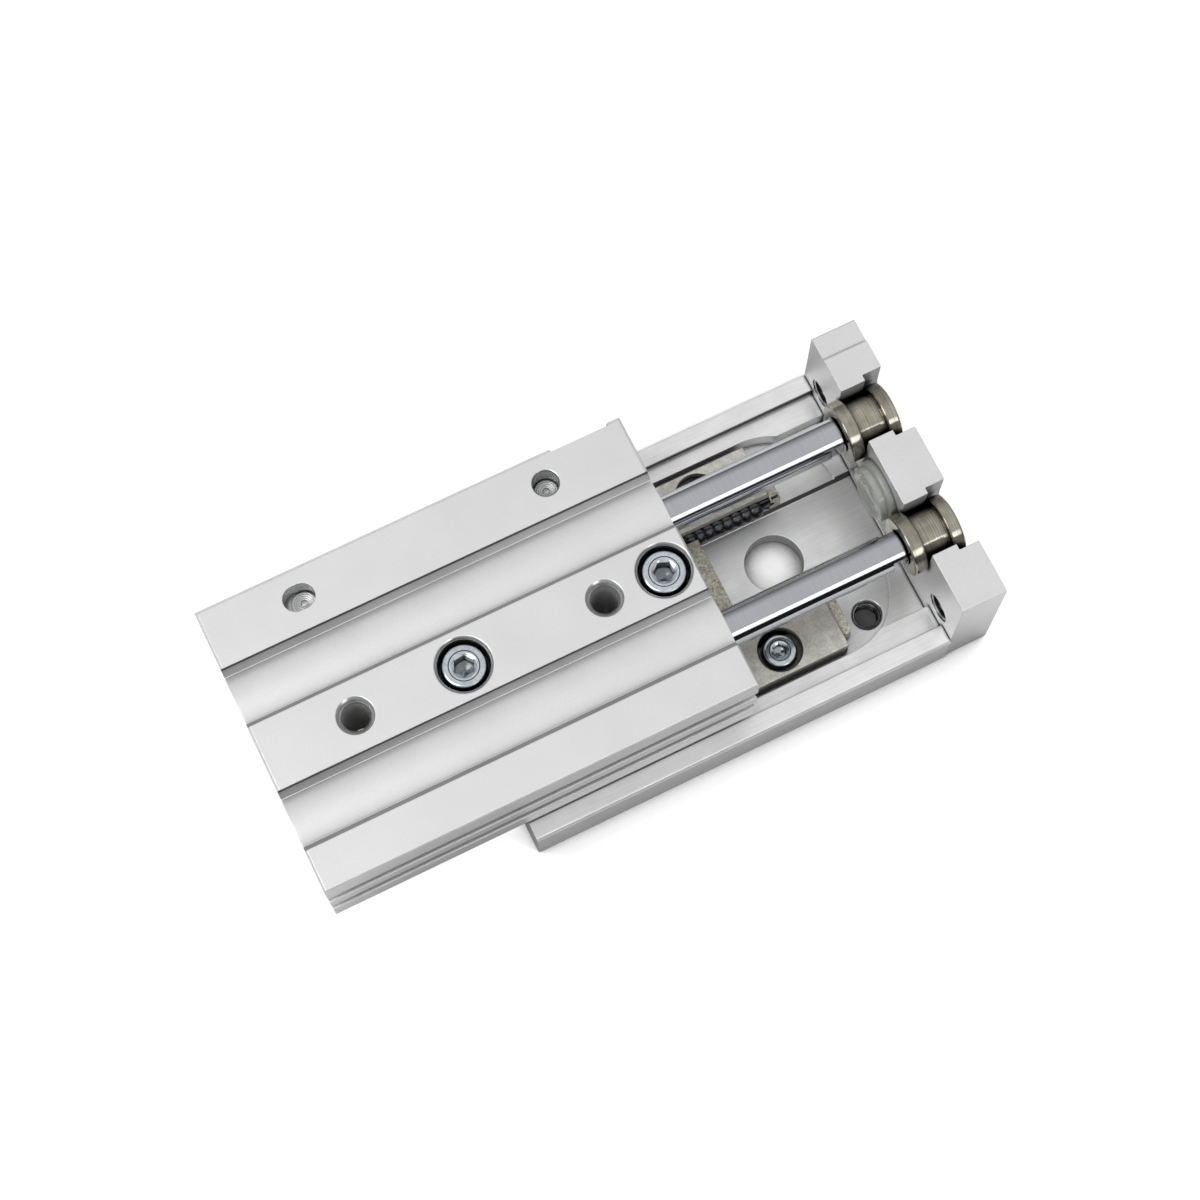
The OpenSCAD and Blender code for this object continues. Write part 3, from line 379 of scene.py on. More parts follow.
# Hard chrome on a ground rod: nearly a mirror.
CHROME = Finish(
    "ground_hard_chrome", "#B9BBBF", "#AFB1B6", 1.0, 0.1, 0.02, Lay.TURNED_ROUND_X, 0.0004, slot="hard_chrome"
)
# Turned steel with a warm nickel tone.
BUSH_STEEL = Finish(
    "turned_nickel_steel", "#BEBAAC", "#7A766A", 1.0, 0.17, 0.05, Lay.TURNED_ROUND_X, 0.003, 2.5,
    shade_reach_mm=1.6, gap=(0.04, 0.5), slot="bush_steel",
)
# Bearing steel, painted dark for the shade that the balls lie in inside their races.
SHADED_BALL_STEEL = Finish(
    "polished_bearing_steel", "#646568", "#4C4D50", 1.0, 0.24, 0.02, Lay.BLASTED, 0.0005,
    shade_reach_mm=1.4, gap=(0.15, 0.7), slot="bearing_steel",
)
# Phosphated spring steel, nearly black.
BLACK_STEEL = Finish(
    "phosphated_steel", "#4A4A4C", "#38383A", 0.8, 0.5, 0.06, Lay.BLASTED, 0.004, slot="black_steel"
)
# Turned gland metal, a pale brassy yellow with faint rings from the lathe.
GLAND_METAL = Finish(
    "turned_gland_metal", "#C4B68E", "#AFA17C", 1.0, 0.32, 0.05, Lay.TURNED_ROUND_X, 0.003, slot="gland_metal"
)
# Bare turned aluminium: bright, with faint rings from the lathe.
PISTON_METAL = Finish("turned_aluminium", "#CFD1D4", "#C0C2C6", 1.0, 0.3, 0.05, Lay.TURNED_ROUND_X, 0.003)
# Black moulded resin with a fine texture.
BLACK_RESIN = Finish(
    "black_moulded_resin", "#2C2C2E", "#222224", 0.0, 0.5, 0.06, Lay.MOULDED, 0.01, slot="cap_resin"
)
# Cream moulded resin with dark flecks of filler.
CREAM_RESIN = Finish(
    "mottled_cream_resin", "#F2EEE0", "#6E6A5A", 0.0, 0.5, 0.06, Lay.BLASTED, 0.01, 0.34,
    shade_reach_mm=0.5, slot="return_resin",
)
# Moulded nitrile rubber: matt black with a faint texture.
NITRILE = Finish("nitrile_rubber", "#202022", "#18181A", 0.0, 0.6, 0.08, Lay.MOULDED, 0.01)
# Pressed ferrite: a dull dark grey.
FERRITE = Finish("pressed_ferrite", "#4C4C50", "#3C3C40", 0.2, 0.55, 0.05, Lay.BLASTED, 0.01)
# Grey-green cast polyurethane: part of the light goes through it and comes out softened.
URETHANE = Finish(
    "cast_polyurethane", "#E0E3DD", "#CDD1C9", 0.0, 0.14, 0.05, Lay.MOULDED, 0.01, crevice=0.5, slot="bumper_urethane",
    sockets=(
        ("Transmission Weight", 0.55),
        ("IOR", 1.5),
        ("Subsurface Weight", 0.3),
        ("Subsurface Radius", (0.002, 0.002, 0.0016)),
    ),
)


# ---- meshes


def new_piece(name: str, mesh: Mesh) -> Piece:
    """Links a mesh to the scene as an object at the origin.

    Args:
        name: The object's name.
        mesh: The mesh, with its place in its points.

    Returns:
        The new object.
    """
    piece = bpy.data.objects.new(name, mesh)
    bpy.context.scene.collection.objects.link(piece)
    return piece


def sheet(name: str, corners: list[Point], material: bpy.types.Material) -> Piece:
    """Adds a flat sheet to the studio.

    Args:
        name: The sheet's name.
        corners: Its four corners in metres.
        material: Its material.

    Returns:
        The new object.
    """
    mesh = bpy.data.meshes.new(name)
    mesh.from_pydata(corners, [], [(0, 1, 2, 3)])
    mesh.materials.append(material)
    piece = new_piece(name, mesh)
    piece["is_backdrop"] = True
    return piece


def mesh_from(name: str, made: EditMesh) -> Mesh:
    """Turns an edited mesh into mesh data with its faces outwards.

    Args:
        name: The mesh's name.
        made: The edited mesh, which is freed.

    Returns:
        The new mesh.
    """
    bmesh.ops.recalc_face_normals(made, faces=made.faces)
    mesh = bpy.data.meshes.new(name)
    made.to_mesh(mesh)
    made.free()
    return mesh


def settle(piece: Piece) -> Piece:
    """Turns the evaluated object into a plain mesh and takes its modifiers off.

    Args:
        piece: An object with live modifiers.

    Returns:
        The same object with the result as its own mesh.
    """
    bpy.context.view_layer.update()
    evaluated = piece.evaluated_get(bpy.context.evaluated_depsgraph_get())
    mesh = bpy.data.meshes.new_from_object(evaluated)
    piece.modifiers.clear()
    piece.data = mesh
    return piece


def smooth_by_angle(mesh: Mesh, degrees: float = SHARP_DEGREES) -> None:
    """Shades a mesh smooth, except across edges sharper than an angle."""
    mesh.polygons.foreach_set("use_smooth", [True] * len(mesh.polygons))
    mesh.set_sharp_from_angle(angle=math.radians(degrees))


def merged(node: str) -> EditMesh:
    """Copies a CAD node's loose triangles into one edited mesh with shared corners.

    Args:
        node: The CAD node.

    Returns:
        The edited mesh, to be freed by the caller.
    """
    made = bmesh.new()
    made.from_mesh(bpy.data.objects[node].data)
    bmesh.ops.remove_doubles(made, verts=made.verts, dist=WELD_MM * MM)
    return made


def solid_boxes(node: str) -> list[tuple[Vector, Vector]]:
    """Measures each separate solid of a CAD node.

    Args:
        node: The CAD node.

    Returns:
        Each solid's lowest and highest corner, in metres, in order of X and then Y.
    """
    made = merged(node)
    boxes = []
    seen: set[bmesh.types.BMVert] = set()
    for start in made.verts:
        if start in seen:
            continue
        seen.add(start)
        group, edge = [], [start]
        while edge:
            vert = edge.pop()
            group.append(vert.co.copy())
            for near in (link.other_vert(vert) for link in vert.link_edges):
                if near not in seen:
                    seen.add(near)
                    edge.append(near)
        boxes.append(tuple(Vector([end(point[axis] for point in group) for axis in range(3)]) for end in (min, max)))
    made.free()
    return sorted(boxes, key=lambda box: (round(box[0].x, 5), round(box[0].y, 5)))


def wear(mesh: Mesh, finish: Finish) -> None:
    """Gives a mesh one finish and nothing else."""
    mesh.materials.clear()
    mesh.materials.append(finish.build())


def dress(node: str, finish: Finish) -> None:
    """Gives a CAD node that stays in view its finish, and reports it."""
    wear(bpy.data.objects[node].data, finish)
    log.info("%s: kept, %s", node, finish.name)


def finish_piece(piece: Piece, body: Body, finish: Finish) -> None:
    """Gives a piece its finish, its body and its material slot, and reports it.

    Args:
        piece: The piece, final and in place.
        body: Its body.
        finish: Its finish.
    """
    wear(piece.data, finish)
    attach(piece, body.value)
    log.info("%s: %d faces on %s", piece.name, len(piece.data.polygons), body.value)


def softened(node: str, name: str, body: Body, finish: Finish, edge_mm: float, segments: int = 2) -> Piece:
    """Copies a CAD node and gives its sharp edges a small bevel, as tumbling or a deburring brush does.

    Args:
        node: The CAD node to copy.
        name: The new piece's name.
        body: Its body.
        finish: Its finish.
        edge_mm: The bevel's width.
        segments: The bevel's faces across.

    Returns:
        The new piece, which replaces the node.
    """
    made = merged(node)
    bmesh.ops.dissolve_limit(made, angle_limit=math.radians(FLAT_DEGREES), verts=made.verts, edges=made.edges)
    mesh = bpy.data.meshes.new(name)
    made.to_mesh(mesh)
    made.free()
    piece = new_piece(name, mesh)
    bevel = piece.modifiers.new("edges", "BEVEL")
    bevel.width = edge_mm * MM
    bevel.segments = segments
    bevel.limit_method = "ANGLE"
    bevel.angle_limit = math.radians(BEVEL_DEGREES)
    bevel.use_clamp_overlap = False
    bevel.miter_outer = "MITER_ARC"
    settle(piece)
    smooth_by_angle(piece.data)
    weighted = piece.modifiers.new("normals", "WEIGHTED_NORMAL")
    weighted.keep_sharp = True
    weighted.weight = NORMAL_WEIGHT
    settle(piece)
    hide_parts(node)
    finish_piece(piece, body, finish)
    return piece


def lathe(name: str, profile_mm: list[Span], axis: Axis, base: Vector, steps: int = 120) -> Piece:
    """Revolves an outline that starts and ends on the axis.

    Args:
        name: The piece's name.
        profile_mm: Points of length along the axis and radius.
        axis: The axis's direction.
        base: The point on the axis where the length is zero, in metres.
        steps: Faces round the axis.

    Returns:
        The new piece.
    """
    made = bmesh.new()
    rings = []
    for along, radius in profile_mm:
        count = steps if radius > 0 else 1
        angles = (2 * math.pi * step / count for step in range(count))
        rings.append([made.verts.new(base + axis.point(along * MM, radius * MM, angle)) for angle in angles])
    join_rings(made, rings, steps)
    mesh = mesh_from(name, made)
    smooth_by_angle(mesh)
    return new_piece(name, mesh)


def join_rings(made: EditMesh, rings: list[Ring], steps: int) -> None:
    """Fills the faces between rings of points, any of which may be a single point.

    Args:
        made: The edited mesh.
        rings: The rings in order.
        steps: Faces round the axis.
    """
    for first, second in zip(rings, rings[1:]):
        for step in range(steps):
            turns = ((first, step), (first, step + 1), (second, step + 1), (second, step))
            corners = list(dict.fromkeys(ring[turn % steps % len(ring)] for ring, turn in turns))
            if len(corners) > 2:
                made.faces.new(corners)


def dress_faces(piece: Piece, finish: Finish, chosen: Callable[[Face], bool]) -> None:
    """Gives some faces of a piece a second finish.

    Args:
        piece: The piece, which already has its main finish.
        finish: The finish of the chosen faces.
        chosen: Tells for each face if it takes that finish.
    """
    piece.data.materials.append(finish.build())
    faces = [face for face in piece.data.polygons if chosen(face)]
    for face in faces:
        face.material_index = len(piece.data.materials) - 1
    log.info("%s: %d faces in %s", piece.name, len(faces), finish.name)


# ---- what repeats


def new_tree(name: str, inputs: dict[str, str]) -> tuple[Graph, bpy.types.NodeOutputs]:
    """Starts a geometry tree with a geometry input and named inputs after it.

    Args:
        name: The tree's name.
        inputs: Each further input's name and kind of socket.

    Returns:
        The tree's nodes and the sockets of its inputs.
    """
    tree = bpy.data.node_groups.new(name, "GeometryNodeTree")
    for label, kind in ({"Places": "Geometry"} | inputs).items():
        tree.interface.new_socket(label, in_out="INPUT", socket_type=f"NodeSocket{kind}")
    tree.interface.new_socket("Geometry", in_out="OUTPUT", socket_type="NodeSocketGeometry")
    graph = Graph(tree)
    return graph, graph.add("NodeGroupInput").outputs


def end_tree(graph: Graph, given: bpy.types.NodeOutputs, shape: Socket, rotation: Socket) -> Tree:
    """Ends a geometry tree: a shape goes on each point, becomes real and takes the finish.

    Args:
        graph: The tree's nodes.
        given: The sockets of its inputs.
        shape: The shape.
        rotation: How each copy is turned.

    Returns:
        The tree.
    """
    places = {"Points": given["Places"], "Instance": shape, "Rotation": rotation}
    copies = graph.add("GeometryNodeInstanceOnPoints", places)
    real = graph.add("GeometryNodeRealizeInstances", {0: copies.outputs[0]})
    dressed = graph.add("GeometryNodeSetMaterial", {"Geometry": real.outputs[0], "Material": given["Finish"]})
    graph.add("NodeGroupOutput", {0: dressed.outputs[0]})
    return graph.tree


def copies_tree() -> Tree:
    """Builds the tree that puts a copy of a shape on each point, each turned by chance about its own axis.

    Returns:
        The tree.
    """
    inputs = {"Shape": "Object", "Turn": "Vector", "Spin": "Float", "Seed": "Int", "Finish": "Material"}
    graph, given = new_tree("copies_on_points", inputs)
    shape = graph.add("GeometryNodeObjectInfo", {"Object": given["Shape"]})
    spans = {2: 0.0, 3: given["Spin"], "Seed": given["Seed"]}
    chance = graph.add("FunctionNodeRandomValue", spans, data_type="FLOAT")
    spin = graph.add("FunctionNodeAxisAngleToRotation", {"Axis": (0.0, 0.0, 1.0), "Angle": chance.outputs[1]})
    turn = graph.add("FunctionNodeEulerToRotation", {0: given["Turn"]})
    both = graph.add("FunctionNodeRotateRotation", {0: turn.outputs[0], 1: spin.outputs[0]}, rotation_space="LOCAL")
    return end_tree(graph, given, shape.outputs["Geometry"], both.outputs[0])


def thread_tree() -> Tree:
    """Builds the tree that winds a thread's ridge inside the hole that starts at each point.

    Returns:
        The tree.
    """
    lengths = dict.fromkeys(("Radius", "Pitch", "Turns", "Ridge"), "Float")
    graph, given = new_tree("threads_in_holes", lengths | {"Turn": "Vector", "Finish": "Material"})
    helix = graph.add(
        "GeometryNodeCurveSpiral",
        {
            "Resolution": 40,
            "Rotations": given["Turns"],
            "Start Radius": given["Radius"],
            "End Radius": given["Radius"],
            "Height": graph.calculate("MULTIPLY", given["Pitch"], given["Turns"]),
        },
    ).outputs[0]
    ridge = graph.add("GeometryNodeCurvePrimitiveCircle", {"Resolution": 4, "Radius": given["Ridge"]}).outputs[0]
    wound = graph.add("GeometryNodeCurveToMesh", {"Curve": helix, "Profile Curve": ridge, "Fill Caps": True})
    turn = graph.add("FunctionNodeEulerToRotation", {0: given["Turn"]})
    return end_tree(graph, given, wound.outputs[0], turn.outputs[0])


def grown(name: str, tree: Tree, places: list[Vector], values: dict[str, object]) -> Piece:
    """Runs a geometry tree on a list of places and keeps the result as a plain mesh.

    Args:
        name: The new piece's name.
        tree: The tree.
        places: The points it starts from.
        values: The value of each named input.

    Returns:
        The new piece.
    """
    points = bpy.data.meshes.new(name)
    points.from_pydata([tuple(place) for place in places], [], [])
    piece = new_piece(name, points)
    modifier = piece.modifiers.new(tree.name, "NODES")
    modifier.node_group = tree
    for item in tree.interface.items_tree:
        if item.in_out == "INPUT" and item.name in values:
            modifier[item.identifier] = values[item.name]
    return settle(piece)


# The screw head from the knurl inwards. Each pair starts with millimetres below the top, and below the
# socket's floor in the cone. Then comes the distance inwards from the knurl, outwards from the ring's
# middle or from the hexagon's corners, and in the cone the share of the hexagon.
HEAD_EDGE = ((0.42, 0.0), (0.22, 0.06), (0.08, 0.2), (0.01, 0.42), (0.0, 0.62))
HEAD_RING = ((0.0, 0.08), (0.12, 0.0), (0.03, -0.08))
SOCKET_MOUTH = ((0.03, 0.04), (0.1, -0.06))
SOCKET_CONE = ((0.02, 0.86), (0.2, 0.5), (0.32, 0.16))
CONE_TIP = 0.36
SOCKET_FLOOR_SHARE = 0.34
# The depth of a thread as a share of its pitch.
THREAD_DEPTH = 0.61

Reach = Callable[[float, int], float]


def flank(turns: float) -> float:
    """The height of a thread's trapezoid wave after a number of turns, from 0 at its root to 1 at its crest."""
    return min(1.0, max(0.0, 2.2 * abs(turns % 1.0 - 0.5) * 2 - 0.6))


@dataclass(frozen=True)
class SocketScrew:
    """A socket head cap screw along Z, with its seat at zero, a knurled head and a rolled thread."""

    thread_mm: float
    pitch_mm: float
    head_mm: float
    height_mm: float
    hex_mm: float
    knurl_mm: float = 0.11
    steps: int = 72

    def ring(self, made: EditMesh, height: float, reach: Reach) -> Ring:
        """Adds a ring of points at a height, with the radius that reach gives for an angle and a step."""
        angles = enumerate(2 * math.pi * step / self.steps for step in range(self.steps))
        return [made.verts.new(Axis.UPRIGHT.point(height, reach(angle, step), angle) * MM) for step, angle in angles]

    def hex_reach(self, angle: float, _step: int) -> float:
        """The distance from the axis to the hexagon's side at an angle."""
        sixth = math.pi / 3
        return self.hex_mm / 2 / math.cos((angle + sixth / 2) % sixth - sixth / 2)

    def knurl_reach(self, _angle: float, step: int) -> float:
        """The radius of the knurl, which goes in and out at every other step."""
        return self.head_mm / 2 if step % 2 else self.head_mm / 2 - self.knurl_mm

    def thread_reach(self, height: float, tip: float) -> Reach:
        """Gives a thread's radius: a wave that moves up one pitch in each turn and grows behind the tip.

        Args:
            height: The ring's height in millimetres.
            tip: How much of the thread has grown there, from 0 at the tip to 1.

        Returns:
            The radius at an angle.
        """
        crest, root = self.thread_mm / 2, self.thread_mm / 2 - THREAD_DEPTH * self.pitch_mm
        waves = height / self.pitch_mm
        return lambda angle, _step: root + (crest - root) * flank(waves - angle / (2 * math.pi)) * (0.3 + 0.7 * tip)

    def rows(self, shank_mm: float) -> list[tuple[float, Reach]]:
        """Lists the height and the radius of every ring, from the tip of the screw to the cone in its socket.

        Args:
            shank_mm: The shank's length.

        Returns:
            The rings in order.
        """
        count = max(8, round(shank_mm / self.pitch_mm * 6))
        heights = [-shank_mm * (1 - index / count) for index in range(count + 1)]
        top, floor = self.height_mm, self.height_mm * SOCKET_FLOOR_SHARE
        smooth = self.head_mm / 2 - self.knurl_mm
        corner = self.hex_mm / 2 / math.cos(math.pi / 6) + 0.18
        middle = (smooth - HEAD_EDGE[-1][1] + corner) / 2

        def even(radius: float) -> Reach:
            """A round ring of one radius."""
            return lambda _angle, _step: radius

        rows = [(z, self.thread_reach(z, min(1.0, (z + shank_mm) / self.pitch_mm))) for z in heights]
        rows += [(0.0, even(smooth - 0.12)), (0.12, even(smooth))]
        rows += [(0.2, self.knurl_reach), (top - 0.5, self.knurl_reach)]
        rows += [(top - down, even(smooth - inward)) for down, inward in HEAD_EDGE]
        rows += [(top - down, even(middle + outward)) for down, outward in HEAD_RING]
        rows += [(top - down, even(corner + outward)) for down, outward in SOCKET_MOUTH]
        rows += [(top - 0.24, self.hex_reach), (floor, self.hex_reach)]
        return rows + [(floor - down, even(self.hex_mm / 2 * share)) for down, share in SOCKET_CONE]

    def build(self, shank_mm: float) -> Mesh:
        """Makes the whole screw as one closed mesh.

        Args:
            shank_mm: The shank's length.

        Returns:
            The mesh.
        """
        made = bmesh.new()
        rings = [[made.verts.new((0.0, 0.0, -shank_mm * MM))]]
        rings += [self.ring(made, height, reach) for height, reach in self.rows(shank_mm)]
        rings.append([made.verts.new((0.0, 0.0, (self.height_mm * SOCKET_FLOOR_SHARE - CONE_TIP) * MM))])
        join_rings(made, rings, self.steps)
        mesh = mesh_from("socket_screw", made)
        smooth_by_angle(mesh, SCREW_SHARP_DEGREES)
        return mesh


@dataclass(frozen=True)
class Thread:
    """A thread in a hole: the hole's radius, the pitch, the threaded length and the way it turns from upright."""

    radius_mm: float
    pitch_mm: float
    depth_mm: float
    turn: Point = (0.0, 0.0, 0.0)
    ridge_share: float = 0.3


class Repeats:
    """Puts screws, balls and threads in their places with the two geometry trees."""

    def __init__(self) -> None:
        """Builds both trees once."""
        self.copies = copies_tree()
        self.threads = thread_tree()

    def copy(
        self, name: str, node: str, body: Body, finish: Finish, shape_mesh: Mesh, places: list[Vector], **ways: object
    ) -> None:
        """Copies a shape onto each place, in place of a CAD node.

        Args:
            name: The piece's name.
            node: The CAD node it replaces.
            body: Its body.
            finish: Its finish.
            shape_mesh: The shape, about its own origin.
            places: The places.
            **ways: Values for the tree's inputs Turn, Spin and Seed, which are otherwise 0.
        """
        shape = new_piece(f"{name}_shape", shape_mesh)
        still = {"Turn": (0.0, 0.0, 0.0), "Spin": 0.0, "Seed": 0}
        piece = grown(name, self.copies, places, {"Shape": shape, "Finish": finish.build()} | still | ways)
        bpy.data.objects.remove(shape)
        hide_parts(node)
        finish_piece(piece, body, finish)

    def screws(self, name: str, node: str, body: Body, screw: SocketScrew, axis: Axis, spin: float, seed: int) -> None:
        """Puts a zinc plated screw in the place of each solid of a node, with its head at the upper end.

        Args:
            name: The piece's name.
            node: The CAD node it replaces.
            body: Its body.
            screw: The screw.
            axis: The way it is screwed in.
            spin: The largest angle by which chance turns a screw.
            seed: The seed for that chance.
        """
        boxes = solid_boxes(node)
        head = screw.height_mm * MM
        seats = [(low + high) / 2 for low, high in boxes]
        for seat, (_, high) in zip(seats, boxes):
            seat[axis.value] = high[axis.value] - head
        low, high = (corner[axis.value] for corner in boxes[0])
        mesh = screw.build((high - head - low) / MM)
        self.copy(name, node, body, ZINC, mesh, seats, Turn=axis.turn, Spin=spin, Seed=seed)

    def tap(self, name: str, body: Body, finish: Finish, places: list[Vector], thread: Thread) -> None:
        """Winds a thread's ridge in each hole.

        Args:
            name: The piece's name.
            body: Its body.
            finish: The finish of the wall.
            places: Where each thread starts, on the holes' axes.
            thread: The thread.
        """
        values = {
            "Radius": thread.radius_mm * MM,
            "Pitch": thread.pitch_mm * MM,
            "Turns": thread.depth_mm / thread.pitch_mm,
            "Ridge": thread.pitch_mm * thread.ridge_share * MM,
            "Turn": thread.turn,
            "Finish": finish.build(),
        }
        finish_piece(grown(name, self.threads, places, values), body, finish)


# ---- studio


@dataclass(frozen=True)
class Studio:
    """A pale floor, soft lamps, a black card and the camera."""

    azimuth: float = 25.444
    elevation: float = 73.1725
    roll: float = -0.727
    lens: float = 78.09
    sensor: float = 36.0
    clip: Span = (0.01, 20.0)
    distance_mm: float = 416.56
    aim_mm: Point = (-21.2, 7.735, 0.0)
    horizon: float = 0.12
    ceiling: float = 0.86
    ceiling_from: float = 0.8
    floor_half: float = 3.0
    paper: str = "#909090"
    paper_glow: float = 0.85
    # How far and from what openness the paper's emitted white fades to painted shadow, as the camera sees it and as
    # metal reflects it.
    seen_mm: float = 10.0
    seen_span: Span = (0.36, 0.66)
    mirrored_mm: float = 150.0
    mirrored_span: Span = (0.65, 1.0)
    card_black: str = "#121212"
    matt: float = 0.9

    def camera(self) -> None:
        """Puts the camera at its viewing angle, aimed at the table."""
        data = bpy.data.cameras.new("camera")
        data.lens = self.lens
        data.sensor_width = self.sensor
        data.clip_start, data.clip_end = self.clip
        camera = bpy.data.objects.new("camera", data)
        bpy.context.scene.collection.objects.link(camera)
        place = Matrix.Translation(Vector(self.aim_mm) * MM)
        for angle, axis in ((-self.azimuth, "Z"), (90.0 - self.elevation, "X"), (self.roll, "Z")):
            place = place @ Matrix.Rotation(math.radians(angle), 4, axis)
        camera.matrix_world = place @ Matrix.Translation((0.0, 0.0, self.distance_mm * MM))
        bpy.context.scene.camera = camera

    def lamp(self, name: str, place_mm: Point, aim_mm: Point, size_mm: Span, power: float) -> None:
        """Adds one rectangular soft lamp.

        Args:
            name: The lamp's name.
            place_mm: Where it hangs.
            aim_mm: The point it faces.
            size_mm: Its width and height.
            power: Its power in watts.
        """
        data = bpy.data.lights.new(name, "AREA")
        data.shape = "RECTANGLE"
        data.size, data.size_y = (side * MM for side in size_mm)
        data.energy = power
        lamp = bpy.data.objects.new(name, data)
        lamp.location = Vector(place_mm) * MM
        lamp.rotation_euler = (Vector(aim_mm) - Vector(place_mm)).to_track_quat("-Z", "Y").to_euler()
        bpy.context.scene.collection.objects.link(lamp)

    def card(self, name: str, across_mm: float, along_mm: Span, height_mm: float) -> None:
        """Stands up a black card that only shows in polished metal.

        Args:
            name: The card's name.
            across_mm: Its Y.
            along_mm: Its lowest and highest X.
            height_mm: Its height above the floor.
        """
        left, right = along_mm
        corners = ((left, 0.0), (right, 0.0), (right, height_mm), (left, height_mm))
        material = bpy.data.materials.new("black_card")
        Graph.blank(material).surface({"Base Color": linear(self.card_black), "Roughness": self.matt})
        card = sheet(name, [(x * MM, across_mm * MM, z * MM) for x, z in corners], material)
        card.visible_camera = card.visible_diffuse = card.visible_shadow = card.visible_transmission = False

    def world(self) -> None:
        """Lights the scene from a pale ceiling that falls off towards the horizon."""
        world = bpy.data.worlds.new("studio")
        graph = Graph.blank(world)
        place = graph.add("ShaderNodeTexCoord").outputs["Generated"]
        height = graph.add("ShaderNodeSeparateXYZ", {0: place}).outputs["Z"]
        strength = graph.stretch(height, (0.0, self.ceiling_from), (self.horizon, self.ceiling))
        light = graph.add("ShaderNodeBackground", {"Color": WHITE, "Strength": strength})
        graph.add("ShaderNodeOutputWorld", {"Surface": light.outputs[0]})
        bpy.context.scene.world = world

    def glow_with_painted_shadow(self, graph: Graph, ray: Socket, reach_mm: float, span: Span) -> Socket:
        """Gives the white of the paper as one kind of ray sees it, fading to a painted shadow where the object closes
        it in.
        """
        white = graph.openness(reach_mm, FLOOR_SKY_RAYS, span, (0.0, self.paper_glow))
        return graph.calculate("MULTIPLY", ray, white)

    def floor(self, height: float) -> None:
        """Lays a white floor: a faint real shadow, and painted shadow where its white fades near the object, in
        reflections too.

        Args:
            height: The floor's Z in metres.
        """
        material = bpy.data.materials.new("white_paper")
        graph = Graph.blank(material)
        rays = graph.add("ShaderNodeLightPath").outputs
        direct = graph.calculate("MAXIMUM", rays["Is Camera Ray"], rays["Is Transmission Ray"])
        seen = self.glow_with_painted_shadow(graph, direct, self.seen_mm, self.seen_span)
        mirrored = self.glow_with_painted_shadow(graph, rays["Is Glossy Ray"], self.mirrored_mm, self.mirrored_span)
        strength = graph.calculate("ADD", seen, mirrored)
        look = {"Base Color": linear(self.paper), "Roughness": self.matt}
        graph.surface(look | {"Emission Color": WHITE, "Emission Strength": strength})
        corners = ((-1, -1), (1, -1), (1, 1), (-1, 1))
        sheet("floor", [(x * self.floor_half, y * self.floor_half, height) for x, y in corners], material)

    def build(self) -> None:
        """Builds the whole studio: the main lamp on the left, and one in front that draws a line on round parts."""
        bpy.context.scene.view_settings.view_transform = "Standard"
        self.camera()
        self.lamp("main_left", (-500.0, -40.0, 620.0), (-20.0, 0.0, 10.0), (440.0, 560.0), 2.1)
        self.lamp("front_strip", (110.0, -590.0, 400.0), (20.0, 0.0, 15.0), (260.0, 260.0), 0.5)
        self.card("front_card", -110.0, (-140.0, 190.0), 57.0)
        self.world()
        self.floor(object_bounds()[0][2])


# ---- sub-assemblies

M3_LOW_SCREW = SocketScrew(thread_mm=3.0, pitch_mm=0.5, head_mm=5.5, height_mm=1.9, hex_mm=2.0)
M4_SCREW = SocketScrew(thread_mm=4.0, pitch_mm=0.7, head_mm=7.0, height_mm=4.0, hex_mm=3.0)

CYLINDER_ENDS = {"head_cap": BLACK_RESIN, "rear_ring": BLACK_STEEL, "rod_gland": GLAND_METAL}
CYLINDER_INNER = {"head_cap_seal": NITRILE, "gland_seal": NITRILE, "rod_seal": NITRILE, "front_ring": BLACK_STEEL}
TABLE_INNER = {
    "ball_wire": SHADED_BALL_STEEL,
    "piston_rear": PISTON_METAL,
    "piston_front": PISTON_METAL,
    "piston_seal": NITRILE,
    "piston_magnet": FERRITE,
    "rod_bumper": URETHANE,
}


class Mounts:
    """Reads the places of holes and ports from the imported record."""

    def __init__(self, record: dict[str, object]) -> None:
        """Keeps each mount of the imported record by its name."""
        self.by_name = {mount["name"]: mount for mount in record["mounts"]}

    def dims(self, name: str) -> dict[str, float]:
        """The stated sizes of a mount."""
        return self.by_name[name]["dims"]

    def radius_mm(self, name: str) -> float:
        """The radius of a mount's holes in millimetres."""
        return self.dims(name).get("hole_r_mm") or self.dims(name)["r_mm"]

    def place(self, name: str) -> Vector:
        """The point of a mount, in metres."""
        return Vector(self.by_name[name]["pos_m"])


